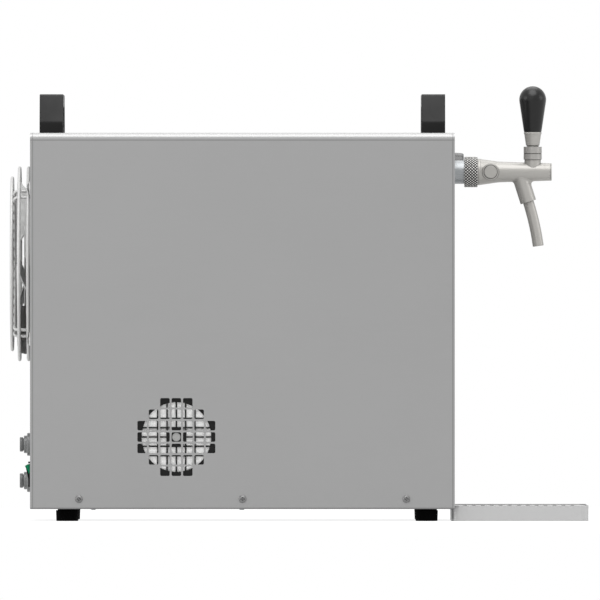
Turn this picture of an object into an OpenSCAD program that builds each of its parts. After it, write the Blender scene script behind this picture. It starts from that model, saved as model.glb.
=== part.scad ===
// Over-counter soda water cooler: a sheet metal casing with a tap, a rear
// condenser fan behind a wire guard, a side intake grille and a loose drip tray.
// The tap faces +X, the grille side is -Y and the feet stand on z = 0.

/* [Casing] */
// Length of the casing from its rear edge to its front edge
body_l = 423.8; // [400:0.2:480]
// Width of the casing over its two sides
body_w = 260; // [250:1:320]
// Height of the casing without its feet
body_h = 375.4; // [370:0.2:420]
// Thickness of the casing's sheet metal
sheet_t = 1.2; // [0.8:0.1:1.6]
// Outer bend radius along the cover's top edges
edge_r = 6; // [4:0.5:10]
// Distance of the front panel behind the cover's front edge
front_inset = 3.6; // [2.5:0.1:6]
// Distance of the rear panel inside the cover's rear edge
rear_inset = 1.5; // [1:0.1:2]
// Depth of the flanges folded back round the panels
flange_d = 10; // [8:1:11]
// Height of the base pan's walls
pan_wall_h = 22; // [18:1:30]
// Clearance between sheet metal pieces that slide into each other
seam = 0.2; // [0.1:0.05:0.4]

/* [Feet and screws] */
// Height of a rubber foot
foot_h = 10.9; // [8:0.1:20]
// Diameter of a rubber foot at its base
foot_d = 22.8; // [18:0.2:30]
// Height of the neck between foot and base pan
foot_neck_h = 1.2; // [0.8:0.1:3]
// Distance from the casing's rear edge to the rear feet
foot_rear_x = 37; // [30:0.5:60]
// Distance from the casing's front edge to the front feet
foot_front_x = 28.1; // [24:0.1:60]
// Distance of the feet from the casing's sides
foot_side_y = 30; // [20:1:40]
// Head diameter of the cover screws
cover_screw_d = 7.7; // [6:0.1:9]
// Pitch of the three cover screws on each side
cover_screw_pitch = 163.4; // [150:0.2:170]
// Distance from the casing's front edge to the first cover screw
cover_screw_x = 48.3; // [40:0.1:60]
// Height of the cover screws above the casing's bottom edge
cover_screw_z = 10; // [8:0.5:14]

/* [Handles] */
// Width of a handle along the casing
handle_w = 23.6; // [18:0.2:30]
// Height of a handle above the cover
handle_h = 38.9; // [34:0.1:50]
// Length of a handle across the casing
handle_l = 200; // [170:1:230]
// Thickness of the handle's grip bar
handle_bar_t = 12; // [9:0.5:14]
// Distance from the casing's rear edge to the rear handle's centre
handle_rear_x = 21; // [16:0.5:40]
// Distance from the casing's front edge to the front handle's centre
handle_front_x = 21.2; // [16:0.1:40]

/* [Side grille] */
// Width of one square grille hole
grille_hole = 9.5; // [8:0.1:10]
// Pitch of the grille holes
grille_pitch = 11.37; // [11:0.01:12]
// Corner radius of a grille hole
grille_r = 1.5; // [0.5:0.1:2.5]
// Distance from the casing's rear edge to the grille's centre
grille_x = 146; // [140:0.5:160]
// Height of the grille's centre above the casing's bottom edge
grille_z = 71.9; // [66:0.1:80]
// Size of the square side fan
side_fan_s = 80; // [78:1:92]
// Depth of the side fan
side_fan_d = 25; // [20:1:30]

/* [Rear fan] */
// Height of the fan's centre above the casing's bottom edge
fan_z = 244.9; // [238:0.1:255]
// Diameter over the fan's blade tips
fan_d = 181; // [170:1:182]
// Number of fan blades
fan_blades = 5; // [4:1:6]
// Reach of the wire guard behind the casing
guard_reach = 20.7; // [18:0.1:26]
// Diameter over the guard's side rings
guard_d = 195.4; // [192:0.2:204]
// Diameter of the guard's ring wire
ring_wire_d = 3.4; // [2.6:0.1:4]
// Diameter of the guard's spoke wire
spoke_wire_d = 3; // [2:0.1:3.6]

/* [Rear connections] */
// Height of the carbon dioxide fitting above the casing's bottom edge
co2_z = 64.2; // [62:0.1:80]
// Height of the water fitting above the casing's bottom edge
water_z = 28; // [26:0.1:34]
// Distance of both fittings from the casing's near side
fitting_y = 72; // [66:1:84]
// Bore of the push-in fittings
tube_bore_d = 9.7; // [8.2:0.1:10.2]
// Distance of the switch centre from the casing's near side
switch_y = 30; // [24:1:40]
// Height of the switch centre above the casing's bottom edge
switch_z = 34.6; // [32:0.1:40]
// Height of the switch bezel
switch_h = 25.3; // [22:0.1:32]
// Width of the switch bezel
switch_w = 18; // [15:0.5:25]

/* [Tap] */
// Height of the tap's axis above the casing's bottom edge
tap_z = 336.9; // [325:0.1:345]
// Diameter of the shank's collar
shank_d = 23.8; // [22:0.1:28]
// Distance from the casing's front edge to the coupling nut
shank_reach = 10.2; // [8:0.1:30]
// Diameter of the coupling nut
nut_d = 30.3; // [29:0.1:36]
// Length of the coupling nut
nut_l = 13.3; // [12:0.1:18]
// Diameter of the tap barrel at its rear end
barrel_d = 20.8; // [20:0.1:24]
// Diameter of the tap barrel at its front end
barrel_end_d = 17.4; // [17:0.1:20]
// Length of the tap barrel
barrel_l = 53.4; // [50:0.1:60]
// Angle by which the spout leans forward
spout_lean = 17.6; // [10:0.2:25]
// Outer diameter of the spout tube
spout_d = 11; // [9:0.1:13]
// Diameter of the tap handle's grip
grip_d = 27; // [24:0.2:34]
// Height of the tap handle's grip
grip_h = 46; // [40:0.5:70]

/* [Thermostat] */
// Diameter of the thermostat knob
knob_d = 24; // [18:0.5:30]
// Height of the thermostat knob
knob_h = 12.6; // [8:0.2:16]
// Distance of the thermostat knob from the tap's axis
knob_y = 60; // [40:1:90]

/* [Drip tray] */
// Reach of the drip tray in front of the casing
tray_reach = 133.6; // [110:0.2:160]
// Width of the drip tray
tray_w = 230; // [180:1:236]
// Height of the drip tray
tray_h = 15.4; // [13:0.1:24]
// Wall thickness of the drip tray
tray_t = 1; // [0.8:0.1:2]

/* [Hidden] */
$fn = 64;

// Overshoot of every cutting tool past the face that it cuts
cut = 1;
// Radial clearance of a screw or stud in its hole
screw_gap = 0.1;
// Radial clearance of a shaft that turns in its bearing
run_gap = 0.06;
// Clearance between a moving piece and its neighbour
move_gap = 0.3;

// Main planes of the casing
overall_l = guard_reach + body_l + tray_reach;
rear_x = guard_reach - overall_l / 2;
front_x = rear_x + body_l;
base_z = foot_h + foot_neck_h;
top_z = base_z + body_h;
half_w = body_w / 2;
inner_hw = half_w - sheet_t - seam;
inner_top = top_z - sheet_t - seam;
inner_r = edge_r - sheet_t - seam;
front_face = front_x - front_inset;
rear_face = rear_x + rear_inset;
floor_z = base_z + sheet_t;
wall_x0 = rear_face + flange_d + seam;
wall_x1 = front_face - flange_d - seam;
lip_hw = inner_hw - sheet_t - seam;
pan_lip_h = 14;

// Screws: shaft and head sizes
cover_shaft_d = 4;
cover_head_h = 2.2;
cover_shaft_l = 6.5;
cross_w = 0.9;
cross_l = 0.55;
cross_depth = 0.5;
dome_ratio = 0.75;
base_screw_d = 3.6;
base_head_d = 5.8;
base_head_h = 2.1;
cover_screw_xs = [for (i = [0:2]) front_x - cover_screw_x - i * cover_screw_pitch];
cover_screw_h = base_z + cover_screw_z;

// Feet
foot_taper = 0.8;
foot_neck_d = 11;
foot_stud_d = 6;
foot_sink_d = 13;
foot_sink_h = 5;
foot_head_h = 3;
foot_nut_h = 5;
foot_nut_d = 11.5;
foot_xs = [rear_x + foot_rear_x, front_x - foot_front_x];
foot_y = half_w - foot_side_y;

// Handles
handle_xs = [rear_x + handle_rear_x, front_x - handle_front_x];
handle_foot_h = 11;
handle_foot_l = 26;
handle_slope = 17;
handle_corner_r = 6;
handle_screw_d = 6;
handle_screw_y = handle_l / 2 - handle_foot_l / 2;
handle_screw_depth = 8;
handle_head_d = 12;
handle_head_h = 3.5;

// Side grille and side fan
grille_cx = rear_x + grille_x;
grille_cz = base_z + grille_z;
grille_reach = 10;
guard_gap = 0.6;
guard_y = -half_w + sheet_t + seam + guard_gap;
side_guard_t = 2;
side_bar_w = 1.5;
side_bar_pitch = 9.3;
side_open_r = 34.7;
side_hub_r = 9.8;
filter_t = 3;
side_fan_y = guard_y + side_guard_t + filter_t;
side_rim = 2;
side_bore_d = side_fan_s - 2 * side_rim;
side_hub_d = 34;
side_axle_d = 3;
side_screw_edge = 4.25;
side_tip_gap = 1.5;
filter_gap = 1;
stand_edge = 5;
side_base_t = 3;
side_strut_w = 5;
side_rotor_t = 18;
side_blades = 7;
side_blade_t = 1.4;
side_blade_pitch = 40;

// Maps a flat outline so that its x runs along Y, its y along Z and its depth along +X
module along_x(x, l) { translate([x, 0, 0]) rotate([90, 0, 90]) linear_extrude(l) children(); }
// Maps a flat outline in X and Z so that its depth runs along +Y
module along_y(y, l) { translate([0, y + l, 0]) rotate([90, 0, 0]) linear_extrude(l) children(); }
// A rod along X from x0 to x1
module rod_x(x0, x1, d, y, z) {
    translate([x0, y, z]) rotate([0, 90, 0]) cylinder(d = d, h = x1 - x0);
}
// A rod along Y from y0 to y1
module rod_y(y0, y1, d, x, z) {
    translate([x, y0, z]) rotate([-90, 0, 0]) cylinder(d = d, h = y1 - y0);
}
// A rod along Z from z0 to z1
module rod_z(z0, z1, d, x, y) { translate([x, y, z0]) cylinder(d = d, h = z1 - z0); }

// A box given by two opposite corners
module block(p, q) { translate(p) cube(q - p); }

// A flat square with round corners
module round_square(w, h, r) {
    square([w - 2 * r, h], center = true);
    square([w, h - 2 * r], center = true);
    for (x = [-1, 1], y = [-1, 1]) translate([x * (w / 2 - r), y * (h / 2 - r)]) circle(r = r);
}

// Points of an arc that rounds the corner b between a and c
function unit(v) = v / norm(v);
function corner(a, b, c, r, n = 6) =
    let (u = unit(a - b), v = unit(c - b), half = acos(u * v) / 2, t = r / tan(half),
         m = b + unit(u + v) * r / sin(half), p = b + u * t - m, q = b + v * t - m,
         s = sign(p.x * q.y - p.y * q.x), sweep = 180 - 2 * half, a0 = atan2(p.y, p.x))
    [for (i = [0:n]) m + r * [cos(a0 + s * sweep * i / n), sin(a0 + s * sweep * i / n)]];
// An outline whose corners are rounded by the radii given beside its points
function rounded(p, r) = [for (i = [0:len(p) - 1])
    let (a = p[(i + len(p) - 1) % len(p)], c = p[(i + 1) % len(p)])
    each (r[i] > 0 ? corner(a, p[i], c, r[i]) : [p[i]])];

// Cross section of the casing: straight sides and two round top corners
module casing_section(hw, bottom, top, r) {
    translate([-hw, bottom]) square([2 * hw, top - r - bottom]);
    translate([r - hw, bottom]) square([2 * (hw - r), top - bottom]);
    for (s = [-1, 1]) translate([s * (hw - r), top - r]) circle(r = r);
}

// A screw along +Z: domed head above z = 0 with a cross recess, shaft below
module pan_screw(head_d, head_h, shaft_d, shaft_l) {
    dome_r = head_d * dome_ratio;
    difference() {
        intersection() {
            cylinder(d = head_d, h = head_h);
            translate([0, 0, head_h - dome_r]) sphere(r = dome_r);
        }
        for (a = [0, 90]) rotate(a)
            translate([-head_d * cross_l / 2, -cross_w / 2, head_h * cross_depth])
                cube([head_d * cross_l, cross_w, head_h]);
    }
    translate([0, 0, -shaft_l]) cylinder(d = shaft_d, h = shaft_l);
}

module base_pan() {
    color("silver") difference() {
        union() {
            block([rear_face, -inner_hw, base_z], [front_face, inner_hw, floor_z]);
            for (s = [-1, 1]) block([wall_x0, s > 0 ? inner_hw - sheet_t : -inner_hw, base_z],
                [wall_x1, s > 0 ? inner_hw : sheet_t - inner_hw, base_z + pan_wall_h]);
            block([rear_face + sheet_t + seam, -lip_hw, base_z],
                [rear_face + 2 * sheet_t + seam, lip_hw, base_z + pan_lip_h]);
            block([front_face - 2 * sheet_t - seam, -lip_hw, base_z],
                [front_face - sheet_t - seam, lip_hw, base_z + pan_lip_h]);
        }
        for (x = cover_screw_xs, s = [-1, 1])
            rod_y(s * inner_hw - 2 * sheet_t, s * inner_hw + 2 * sheet_t,
                cover_shaft_d + 2 * screw_gap, x, cover_screw_h);
        for (x = foot_xs, s = [-1, 1])
            rod_z(base_z - cut, floor_z + cut, foot_stud_d + 2 * screw_gap, x, s * foot_y);
        for (x = comp_bolt_xs, y = comp_bolt_ys)
            rod_z(base_z - cut, floor_z + cut, base_screw_d + 2 * screw_gap, x, y);
    }
}

module front_panel() {
    color("lightgray") difference() {
        along_x(front_face - flange_d, flange_d) casing_section(inner_hw, floor_z, inner_top, inner_r);
        along_x(front_face - flange_d - cut, flange_d - sheet_t + cut)
            casing_section(inner_hw - sheet_t, floor_z - cut, inner_top - sheet_t, inner_r - sheet_t);
        rod_x(front_face - sheet_t - cut, front_face + cut, shank_tail_d + 2 * screw_gap, 0, tap_cz);
        rod_x(front_face - sheet_t - cut, front_face + cut, stat_bush_d + 2 * screw_gap, knob_y, knob_cz);
    }
}

module rear_panel() {
    color("lightgray") difference() {
        along_x(rear_face, flange_d) casing_section(inner_hw, floor_z, inner_top, inner_r);
        along_x(rear_face + sheet_t, flange_d)
            casing_section(inner_hw - sheet_t, floor_z - cut, inner_top - sheet_t, inner_r - sheet_t);
        rod_x(rear_face - cut, rear_face + sheet_t + cut, fan_opening_d, 0, fan_cz);
        for (z = [water_cz, co2_cz])
            rod_x(rear_face - cut, rear_face + sheet_t + cut, fitting_thread_d + 2 * screw_gap, fitting_cy, z);
        for (p = guard_screw_ps)
            rod_x(rear_face - cut, rear_face + sheet_t + cut, guard_shaft_d + 2 * screw_gap, p.x, p.y);
        block([rear_face - cut, switch_cy - switch_body_w / 2 - seam, switch_cz - switch_body_h / 2 - seam],
            [rear_face + sheet_t + cut, switch_cy + switch_body_w / 2 + seam, switch_cz + switch_body_h / 2 + seam]);
        block([rear_face - cut, inlet_cy - inlet_body_w / 2 - seam, inlet_cz - inlet_body_h / 2 - seam],
            [rear_face + sheet_t + cut, inlet_cy + inlet_body_w / 2 + seam, inlet_cz + inlet_body_h / 2 + seam]);
    }
}

module wrap_cover() {
    color("silver") difference() {
        along_x(rear_x, body_l) casing_section(half_w, base_z, top_z, edge_r);
        along_x(rear_x - cut, body_l + 2 * cut)
            casing_section(half_w - sheet_t, base_z - cut, top_z - sheet_t, edge_r - sheet_t);
        for (i = [-3:3], j = [-3:3]) if (i * i + j * j <= grille_reach)
            along_y(-half_w - cut, sheet_t + 2 * cut)
                translate([grille_cx + i * grille_pitch, grille_cz + j * grille_pitch])
                    round_square(grille_hole, grille_hole, grille_r);
        for (x = cover_screw_xs, s = [-1, 1])
            rod_y(s * half_w - 2 * sheet_t, s * half_w + 2 * sheet_t,
                cover_shaft_d + 2 * screw_gap, x, cover_screw_h);
        for (x = handle_xs, s = [-1, 1])
            rod_z(top_z - 2 * sheet_t, top_z + cut, handle_screw_d + 2 * screw_gap, x, s * handle_screw_y);
    }
}

module cover_screws() {
    color("gray") for (x = cover_screw_xs, s = [-1, 1])
        translate([x, s * half_w, cover_screw_h]) rotate([-s * 90, 0, 0])
            pan_screw(cover_screw_d, cover_head_h, cover_shaft_d, cover_shaft_l);
}

// A bridge handle: two feet on the cover, sloping shoulders and a straight grip bar
module handle(x) {
    l = handle_l / 2;
    bar_in = handle_h - handle_bar_t;
    bar_y = l - handle_slope;
    in_y = l - handle_foot_l;
    outline = [[-l, 0], [-l, handle_foot_h], [-bar_y, handle_h], [bar_y, handle_h], [l, handle_foot_h], [l, 0],
        [in_y, 0], [in_y, handle_foot_h / 2], [in_y - handle_slope / 2, bar_in],
        [handle_slope / 2 - in_y, bar_in], [-in_y, handle_foot_h / 2], [-in_y, 0]];
    r = handle_corner_r;
    radii = [0, r / 2, r, r, r / 2, 0, 0, r / 2, r, r, r / 2, 0];
    color("dimgray") difference() {
        translate([0, 0, top_z]) along_x(x - handle_w / 2, handle_w) polygon(rounded(outline, radii));
        for (s = [-1, 1])
            rod_z(top_z - cut, top_z + handle_screw_depth, handle_screw_d + 2 * screw_gap, x, s * handle_screw_y);
    }
}
module handle_rear() { handle(handle_xs[0]); }
module handle_front() { handle(handle_xs[1]); }

module handle_screws() {
    color("gray") for (x = handle_xs, s = [-1, 1]) {
        rod_z(top_z - sheet_t - handle_head_h, top_z - sheet_t, handle_head_d, x, s * handle_screw_y);
        rod_z(top_z - sheet_t, top_z + handle_screw_depth - cut, handle_screw_d, x, s * handle_screw_y);
    }
}

// A rubber foot with a sunk seat for its screw head and a narrow neck under the pan
module foot(x, y) {
    color("black") translate([x, y, 0]) difference() {
        union() {
            cylinder(d1 = foot_d - foot_taper, d2 = foot_d, h = foot_h);
            cylinder(d = foot_neck_d, h = base_z);
        }
        translate([0, 0, -cut]) cylinder(d = foot_sink_d, h = foot_sink_h + cut);
        translate([0, 0, -cut]) cylinder(d = foot_stud_d + 2 * screw_gap, h = base_z + 2 * cut);
    }
}
module foot_rear_left() { foot(foot_xs[0], -foot_y); }
module foot_rear_right() { foot(foot_xs[0], foot_y); }
module foot_front_left() { foot(foot_xs[1], -foot_y); }
module foot_front_right() { foot(foot_xs[1], foot_y); }

module foot_studs() {
    color("gray") for (x = foot_xs, s = [-1, 1]) {
        rod_z(foot_sink_h - foot_head_h, foot_sink_h, foot_sink_d - 2 * screw_gap, x, s * foot_y);
        rod_z(foot_sink_h - foot_head_h, floor_z + foot_nut_h, foot_stud_d, x, s * foot_y);
        translate([x, s * foot_y, floor_z]) cylinder(d = foot_nut_d, h = foot_nut_h, $fn = 6);
    }
}

// The compressor's bolts: their heads show under the pan
module base_screws() {
    color("gray") for (x = comp_bolt_xs, y = comp_bolt_ys) {
        translate([x, y, base_z]) rotate([180, 0, 0])
            pan_screw(base_head_d, base_head_h, base_screw_d, comp_bolt_l);
        translate([x, y, comp_rail_z + comp_rail_t]) cylinder(d = comp_nut_d, h = comp_nut_h, $fn = 6);
    }
}

// Tap: places along its axis, from the casing outwards
tap_cz = base_z + tap_z;
nut_x0 = front_x + shank_reach;
nut_x1 = nut_x0 + nut_l;
tap_flange_l = 2.6;
tap_flange_d = 26.5;
cone_d = 26;
cone_l = 18.3;
cone_x0 = nut_x1 + tap_flange_l;
barrel_x0 = cone_x0 + cone_l;
barrel_x1 = barrel_x0 + barrel_l;
cap_t = 1.3;
cap_plug_l = 2;
// Shank, its tail inside the casing and the coupling to the tap
shank_tail_d = 16;
shank_tail_l = 32;
shank_bore_d = 8;
nut_wall = 4.3;
shank_thread_d = nut_d - 2 * nut_wall;
shank_thread_l = 4.8;
seal_t = 1.5;
collar_l = 3.6;
nut_lip_l = 2.8;
tail_wall = 1.8;
tail_d = shank_thread_d - 2 * tail_wall;
nut_chamfer = 0.8;
panel_nut_h = 6;
shank_nut_d = 27;
// Valve bore, compensator chamber and the passage between them
valve_d = 12;
valve_l = 51;
chamber_d = 13;
chamber_l = 17.2;
port_d = 8;
// Compensator disc on the near side of the cone
comp_reach = 10.4;
comp_x = cone_x0 + comp_reach;
comp_ring_r = 8.2;
comp_disc_r = 6.5;
comp_ring_y = 13.5;
comp_disc_out = 0.8;
comp_disc_t = 2.6;
comp_shaft_d = 6;
comp_pin_d = 2.4;
comp_pin_e = 1.5;
comp_pin_y = 3;
comp_slot_gap = 0.9;
cone_wall = 1.2;
comp_cone_l = 10;
comp_cone_tip_d = 5;
// Lever: neck and collar on the barrel, ball and cross pin inside the collar
lever_back = 19;
lever_x = barrel_x1 - lever_back;
neck_d = 16.5;
neck_rise = 12.5;
neck_z = tap_cz + neck_rise;
lever_collar_d = 18.2;
lever_collar_h = 12.8;
collar_groove_z = 5.8;
collar_groove = 0.4;
lever_collar_z = neck_z + lever_collar_h;
ball_d = 13.2;
ball_rise = 23;
ball_z = tap_cz + ball_rise;
lever_slot_r = 8.5;
slot_side = 0.2;
lever_slot_y = ball_d / 2 + move_gap + slot_side;
lever_pin_d = 3;
lever_pin_l = 17.2;
lever_tail_d = 4;
lever_tail_l = 24.6;
tail_slot_y = lever_tail_d / 2 + move_gap + slot_side;
tail_slot_low = 7.9;
tail_slot_high = 6.9;
tail_slot_rise = 9.6;
tail_slot_z = tap_cz + tail_slot_rise;
lever_stud_d = 8;
lever_stud_l = 12;
ferrule_gap = 1.1;
ferrule_h = 13.6;
ferrule_d0 = 13.6;
ferrule_d1 = 17.8;
ferrule_z = lever_collar_z + ferrule_gap;
grip_z = ferrule_z + ferrule_h;
// Plunger with a notch for the lever's tail
plunger_back = 23.7;
plunger_front = 10.3;
plunger_notch = 3.2;
plunger_notch_z = 2.4;
plunger_flat = 5;
plunger_flat_z = 3;
// Spout boss and curved spout tube
spout_reach = 20.5;
spout_x = barrel_x0 + spout_reach;
spout_boss_d = 16.2;
spout_boss_l = 31.6;
spout_socket_l = 12;
spout_wall = 1;
spout_turn = 9.8;
spout_arc_r = 262;
// Thermostat
knob_taper = 1.6;
knob_rise = 8;
knob_cz = tap_cz + knob_rise;
knob_gap = 1;
knob_mark_w = 1.6;
knob_mark_h = 0.8;
stat_bush_d = 10;
stat_shaft_d = 6;
stat_shaft_l = 14;
stat_nut_d = 14;
stat_nut_h = 2.4;
stat_nut_gap = 2;
stat_size = [30, 36, 36];
// Drip tray
tray_x0 = front_face + move_gap;
tray_x1 = front_x + tray_reach;
tray_l = tray_x1 - tray_x0;
tray_cx = (tray_x0 + tray_x1) / 2;
tray_r = 8;
grid_gap = 0.5;
grid_t = 1;
grid_drop = 1;
grid_margin = 10;
slot_w = 4;
slot_l = 28;
slot_pitch_x = 9;
slot_pitch_y = 34;

module tap_shank() {
    color("silver") difference() {
        union() {
            rod_x(front_face - shank_tail_l, front_face, shank_tail_d, 0, tap_cz);
            rod_x(front_face, nut_x0, shank_d, 0, tap_cz);
            rod_x(nut_x0, nut_x0 + shank_thread_l, shank_thread_d, 0, tap_cz);
        }
        rod_x(front_face - shank_tail_l - cut, nut_x1, shank_bore_d, 0, tap_cz);
    }
}

module tap_seal() {
    x = nut_x0 + shank_thread_l;
    color("black") difference() {
        rod_x(x, x + seal_t, shank_thread_d - 1, 0, tap_cz);
        rod_x(x - cut, x + seal_t + cut, shank_bore_d, 0, tap_cz);
    }
}

// The coupling nut draws the tap's tail collar against the shank
module coupling_nut() {
    r = nut_d / 2;
    color("silver") translate([nut_x0, 0, tap_cz]) rotate([0, 90, 0]) difference() {
        rotate_extrude() polygon([[0, 0], [r - nut_chamfer, 0], [r, nut_chamfer], [r, nut_l - nut_chamfer],
            [r - nut_chamfer, nut_l], [0, nut_l]]);
        translate([0, 0, -cut]) cylinder(d = shank_thread_d + 2 * screw_gap, h = nut_l - nut_lip_l + cut);
        cylinder(d = tail_d + 2 * screw_gap, h = nut_l + cut);
    }
}

module tap_body() {
    tail_x = nut_x0 + shank_thread_l + seal_t;
    color("silver") difference() {
        union() {
            rod_x(tail_x, tail_x + collar_l, shank_thread_d - 1, 0, tap_cz);
            rod_x(tail_x, nut_x1, tail_d, 0, tap_cz);
            rod_x(nut_x1, cone_x0, tap_flange_d, 0, tap_cz);
            translate([cone_x0, 0, tap_cz]) rotate([0, 90, 0]) cylinder(d1 = cone_d, d2 = barrel_d, h = cone_l);
            translate([barrel_x0, 0, tap_cz]) rotate([0, 90, 0])
                cylinder(d1 = barrel_d, d2 = barrel_end_d, h = barrel_l - cap_t);
            rod_y(-comp_ring_y, 0, 2 * comp_ring_r, comp_x, tap_cz);
            rod_z(tap_cz, neck_z, neck_d, lever_x, 0);
            translate([spout_x, 0, tap_cz]) rotate([0, 180 - spout_lean, 0])
                cylinder(d = spout_boss_d, h = spout_boss_l);
        }
        rod_x(tail_x - cut, cone_x0 + cut, shank_bore_d, 0, tap_cz);
        rod_x(cone_x0, cone_x0 + chamber_l, chamber_d, 0, tap_cz);
        rod_x(cone_x0, barrel_x1, port_d, 0, tap_cz);
        rod_x(barrel_x1 - valve_l, barrel_x1, valve_d, 0, tap_cz);
        rod_y(-comp_ring_y - cut, 0, comp_shaft_d + 2 * run_gap, comp_x, tap_cz);
        rod_y(-comp_ring_y - cut, comp_disc_t - comp_disc_out + move_gap - comp_ring_y,
            2 * (comp_disc_r + move_gap), comp_x, tap_cz);
        block([lever_x - tail_slot_low, -tail_slot_y, tap_cz], [lever_x + tail_slot_low, tail_slot_y, tail_slot_z]);
        block([lever_x - tail_slot_high, -tail_slot_y, tap_cz],
            [lever_x + tail_slot_high, tail_slot_y, neck_z + cut]);
        translate([spout_x, 0, tap_cz]) rotate([0, 180 - spout_lean, 0]) {
            cylinder(d = port_d, h = spout_boss_l);
            translate([0, 0, spout_boss_l - spout_socket_l])
                cylinder(d = spout_d + 2 * screw_gap, h = spout_socket_l + cut);
        }
    }
}

module tap_end_cap() {
    color("silver") {
        rod_x(barrel_x1 - cap_t, barrel_x1, barrel_end_d, 0, tap_cz);
        rod_x(barrel_x1 - cap_t - cap_plug_l, barrel_x1 - cap_t, valve_d - 2 * screw_gap, 0, tap_cz);
    }
}

// The spout runs straight out of its socket and then bends slowly towards the vertical
module spout_tube() {
    module wall() {
        difference() {
            circle(d = spout_d);
            circle(d = spout_d - 2 * spout_wall);
        }
    }
    color("gray") translate([spout_x, 0, tap_cz]) rotate([0, 180 - spout_lean, 0])
        translate([0, 0, spout_boss_l - spout_socket_l]) {
            linear_extrude(spout_socket_l) wall();
            translate([spout_arc_r, 0, spout_socket_l]) rotate([90, 0, 180])
                rotate_extrude(angle = spout_turn, $fn = 128) translate([spout_arc_r, 0]) wall();
        }
}

// The collar round the lever's ball: open along X, closed at the sides that hold the cross pin
module lever_collar() {
    color("silver") translate([lever_x, 0, neck_z]) difference() {
        cylinder(d = lever_collar_d, h = lever_collar_h);
        translate([0, 0, collar_groove_z]) difference() {
            cylinder(d = lever_collar_d + cut, h = collar_groove);
            translate([0, 0, -cut]) cylinder(d = lever_collar_d - 2 * collar_groove, h = collar_groove + 2 * cut);
        }
        translate([0, 0, ball_z - neck_z]) sphere(d = ball_d + 2 * move_gap);
        translate([0, 0, ball_z - neck_z]) intersection() {
            cylinder(r = lever_slot_r, h = lever_collar_h);
            translate([-lever_collar_d, -lever_slot_y, 0]) cube([2 * lever_collar_d, 2 * lever_slot_y, lever_collar_h]);
        }
        translate([-tail_slot_high, -tail_slot_y, -cut])
            cube([2 * tail_slot_high, 2 * tail_slot_y, ball_z - neck_z + cut]);
        rod_y(-lever_pin_l / 2 - screw_gap, lever_pin_l / 2 + screw_gap,
            lever_pin_d + 2 * screw_gap, 0, ball_z - neck_z);
    }
}

module lever_pin() {
    color("gray") rod_y(-lever_pin_l / 2, lever_pin_l / 2, lever_pin_d, lever_x, ball_z);
}

// The lever's ball, its tail down to the plunger and its stud up into the grip
module tap_lever() {
    color("silver") translate([lever_x, 0, ball_z]) difference() {
        union() {
            sphere(d = ball_d);
            translate([0, 0, -lever_tail_l]) cylinder(d = lever_tail_d, h = lever_tail_l);
            cylinder(d = lever_stud_d, h = grip_z - ball_z + lever_stud_l);
        }
        rod_y(-ball_d, ball_d, lever_pin_d + 2 * run_gap, 0, 0);
    }
}

module lever_ferrule() {
    color("gray") translate([lever_x, 0, ferrule_z]) difference() {
        cylinder(d1 = ferrule_d0, d2 = ferrule_d1, h = ferrule_h);
        translate([0, 0, -cut]) cylinder(d = lever_stud_d + 2 * screw_gap, h = ferrule_h + 2 * cut);
        translate([0, 0, ball_z - ferrule_z]) sphere(d = ball_d + 2 * screw_gap);
    }
}

// A pear-shaped grip: a cone that runs tangent into a ball
module lever_grip() {
    r = grip_d / 2;
    r0 = ferrule_d1 / 2;
    h = grip_h - r;
    lean = asin(r / norm([h, r0])) - atan2(r0, h);
    color([0.17, 0.17, 0.17]) translate([lever_x, 0, grip_z]) difference() {
        union() {
            cylinder(r1 = r0, r2 = r * cos(lean), h = h - r * sin(lean));
            translate([0, 0, h]) sphere(r = r);
        }
        translate([0, 0, -cut]) cylinder(d = lever_stud_d + 2 * screw_gap, h = lever_stud_l + 2 * cut);
    }
}

module tap_plunger() {
    color("white") difference() {
        rod_x(lever_x - plunger_back, lever_x + plunger_front, valve_d - 2 * run_gap, 0, tap_cz);
        block([lever_x - plunger_notch, -valve_d, tap_cz - plunger_notch_z],
            [lever_x + plunger_notch, valve_d, tap_cz + valve_d]);
        block([lever_x - plunger_flat, -valve_d, tap_cz + plunger_flat_z],
            [lever_x + plunger_flat, valve_d, tap_cz + valve_d]);
    }
}

// The compensator's disc turns an eccentric pin that shifts the cone along the tap
module compensator_knob() {
    out = comp_ring_y + comp_disc_out;
    color("silver") {
        rod_y(-out, comp_disc_t - out, 2 * comp_disc_r, comp_x, tap_cz);
        rod_y(-out, -chamber_d / 2, comp_shaft_d, comp_x, tap_cz);
        rod_y(-chamber_d / 2 - cut, -comp_pin_y, comp_pin_d, comp_x - comp_pin_e, tap_cz);
    }
}

module compensator_cone() {
    d = chamber_d - 2 * move_gap;
    slot = comp_pin_d / 2 + comp_slot_gap;
    x = comp_x - comp_pin_e - slot - cone_wall;
    color("white") difference() {
        translate([x, 0, tap_cz]) rotate([0, 90, 0]) {
            cylinder(d = d, h = comp_cone_l / 2);
            translate([0, 0, comp_cone_l / 2]) cylinder(d1 = d, d2 = comp_cone_tip_d, h = comp_cone_l / 2);
        }
        block([comp_x - comp_pin_e - slot, -chamber_d, tap_cz - chamber_d],
            [comp_x - comp_pin_e + slot, move_gap - comp_pin_y, tap_cz + chamber_d]);
    }
}

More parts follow.
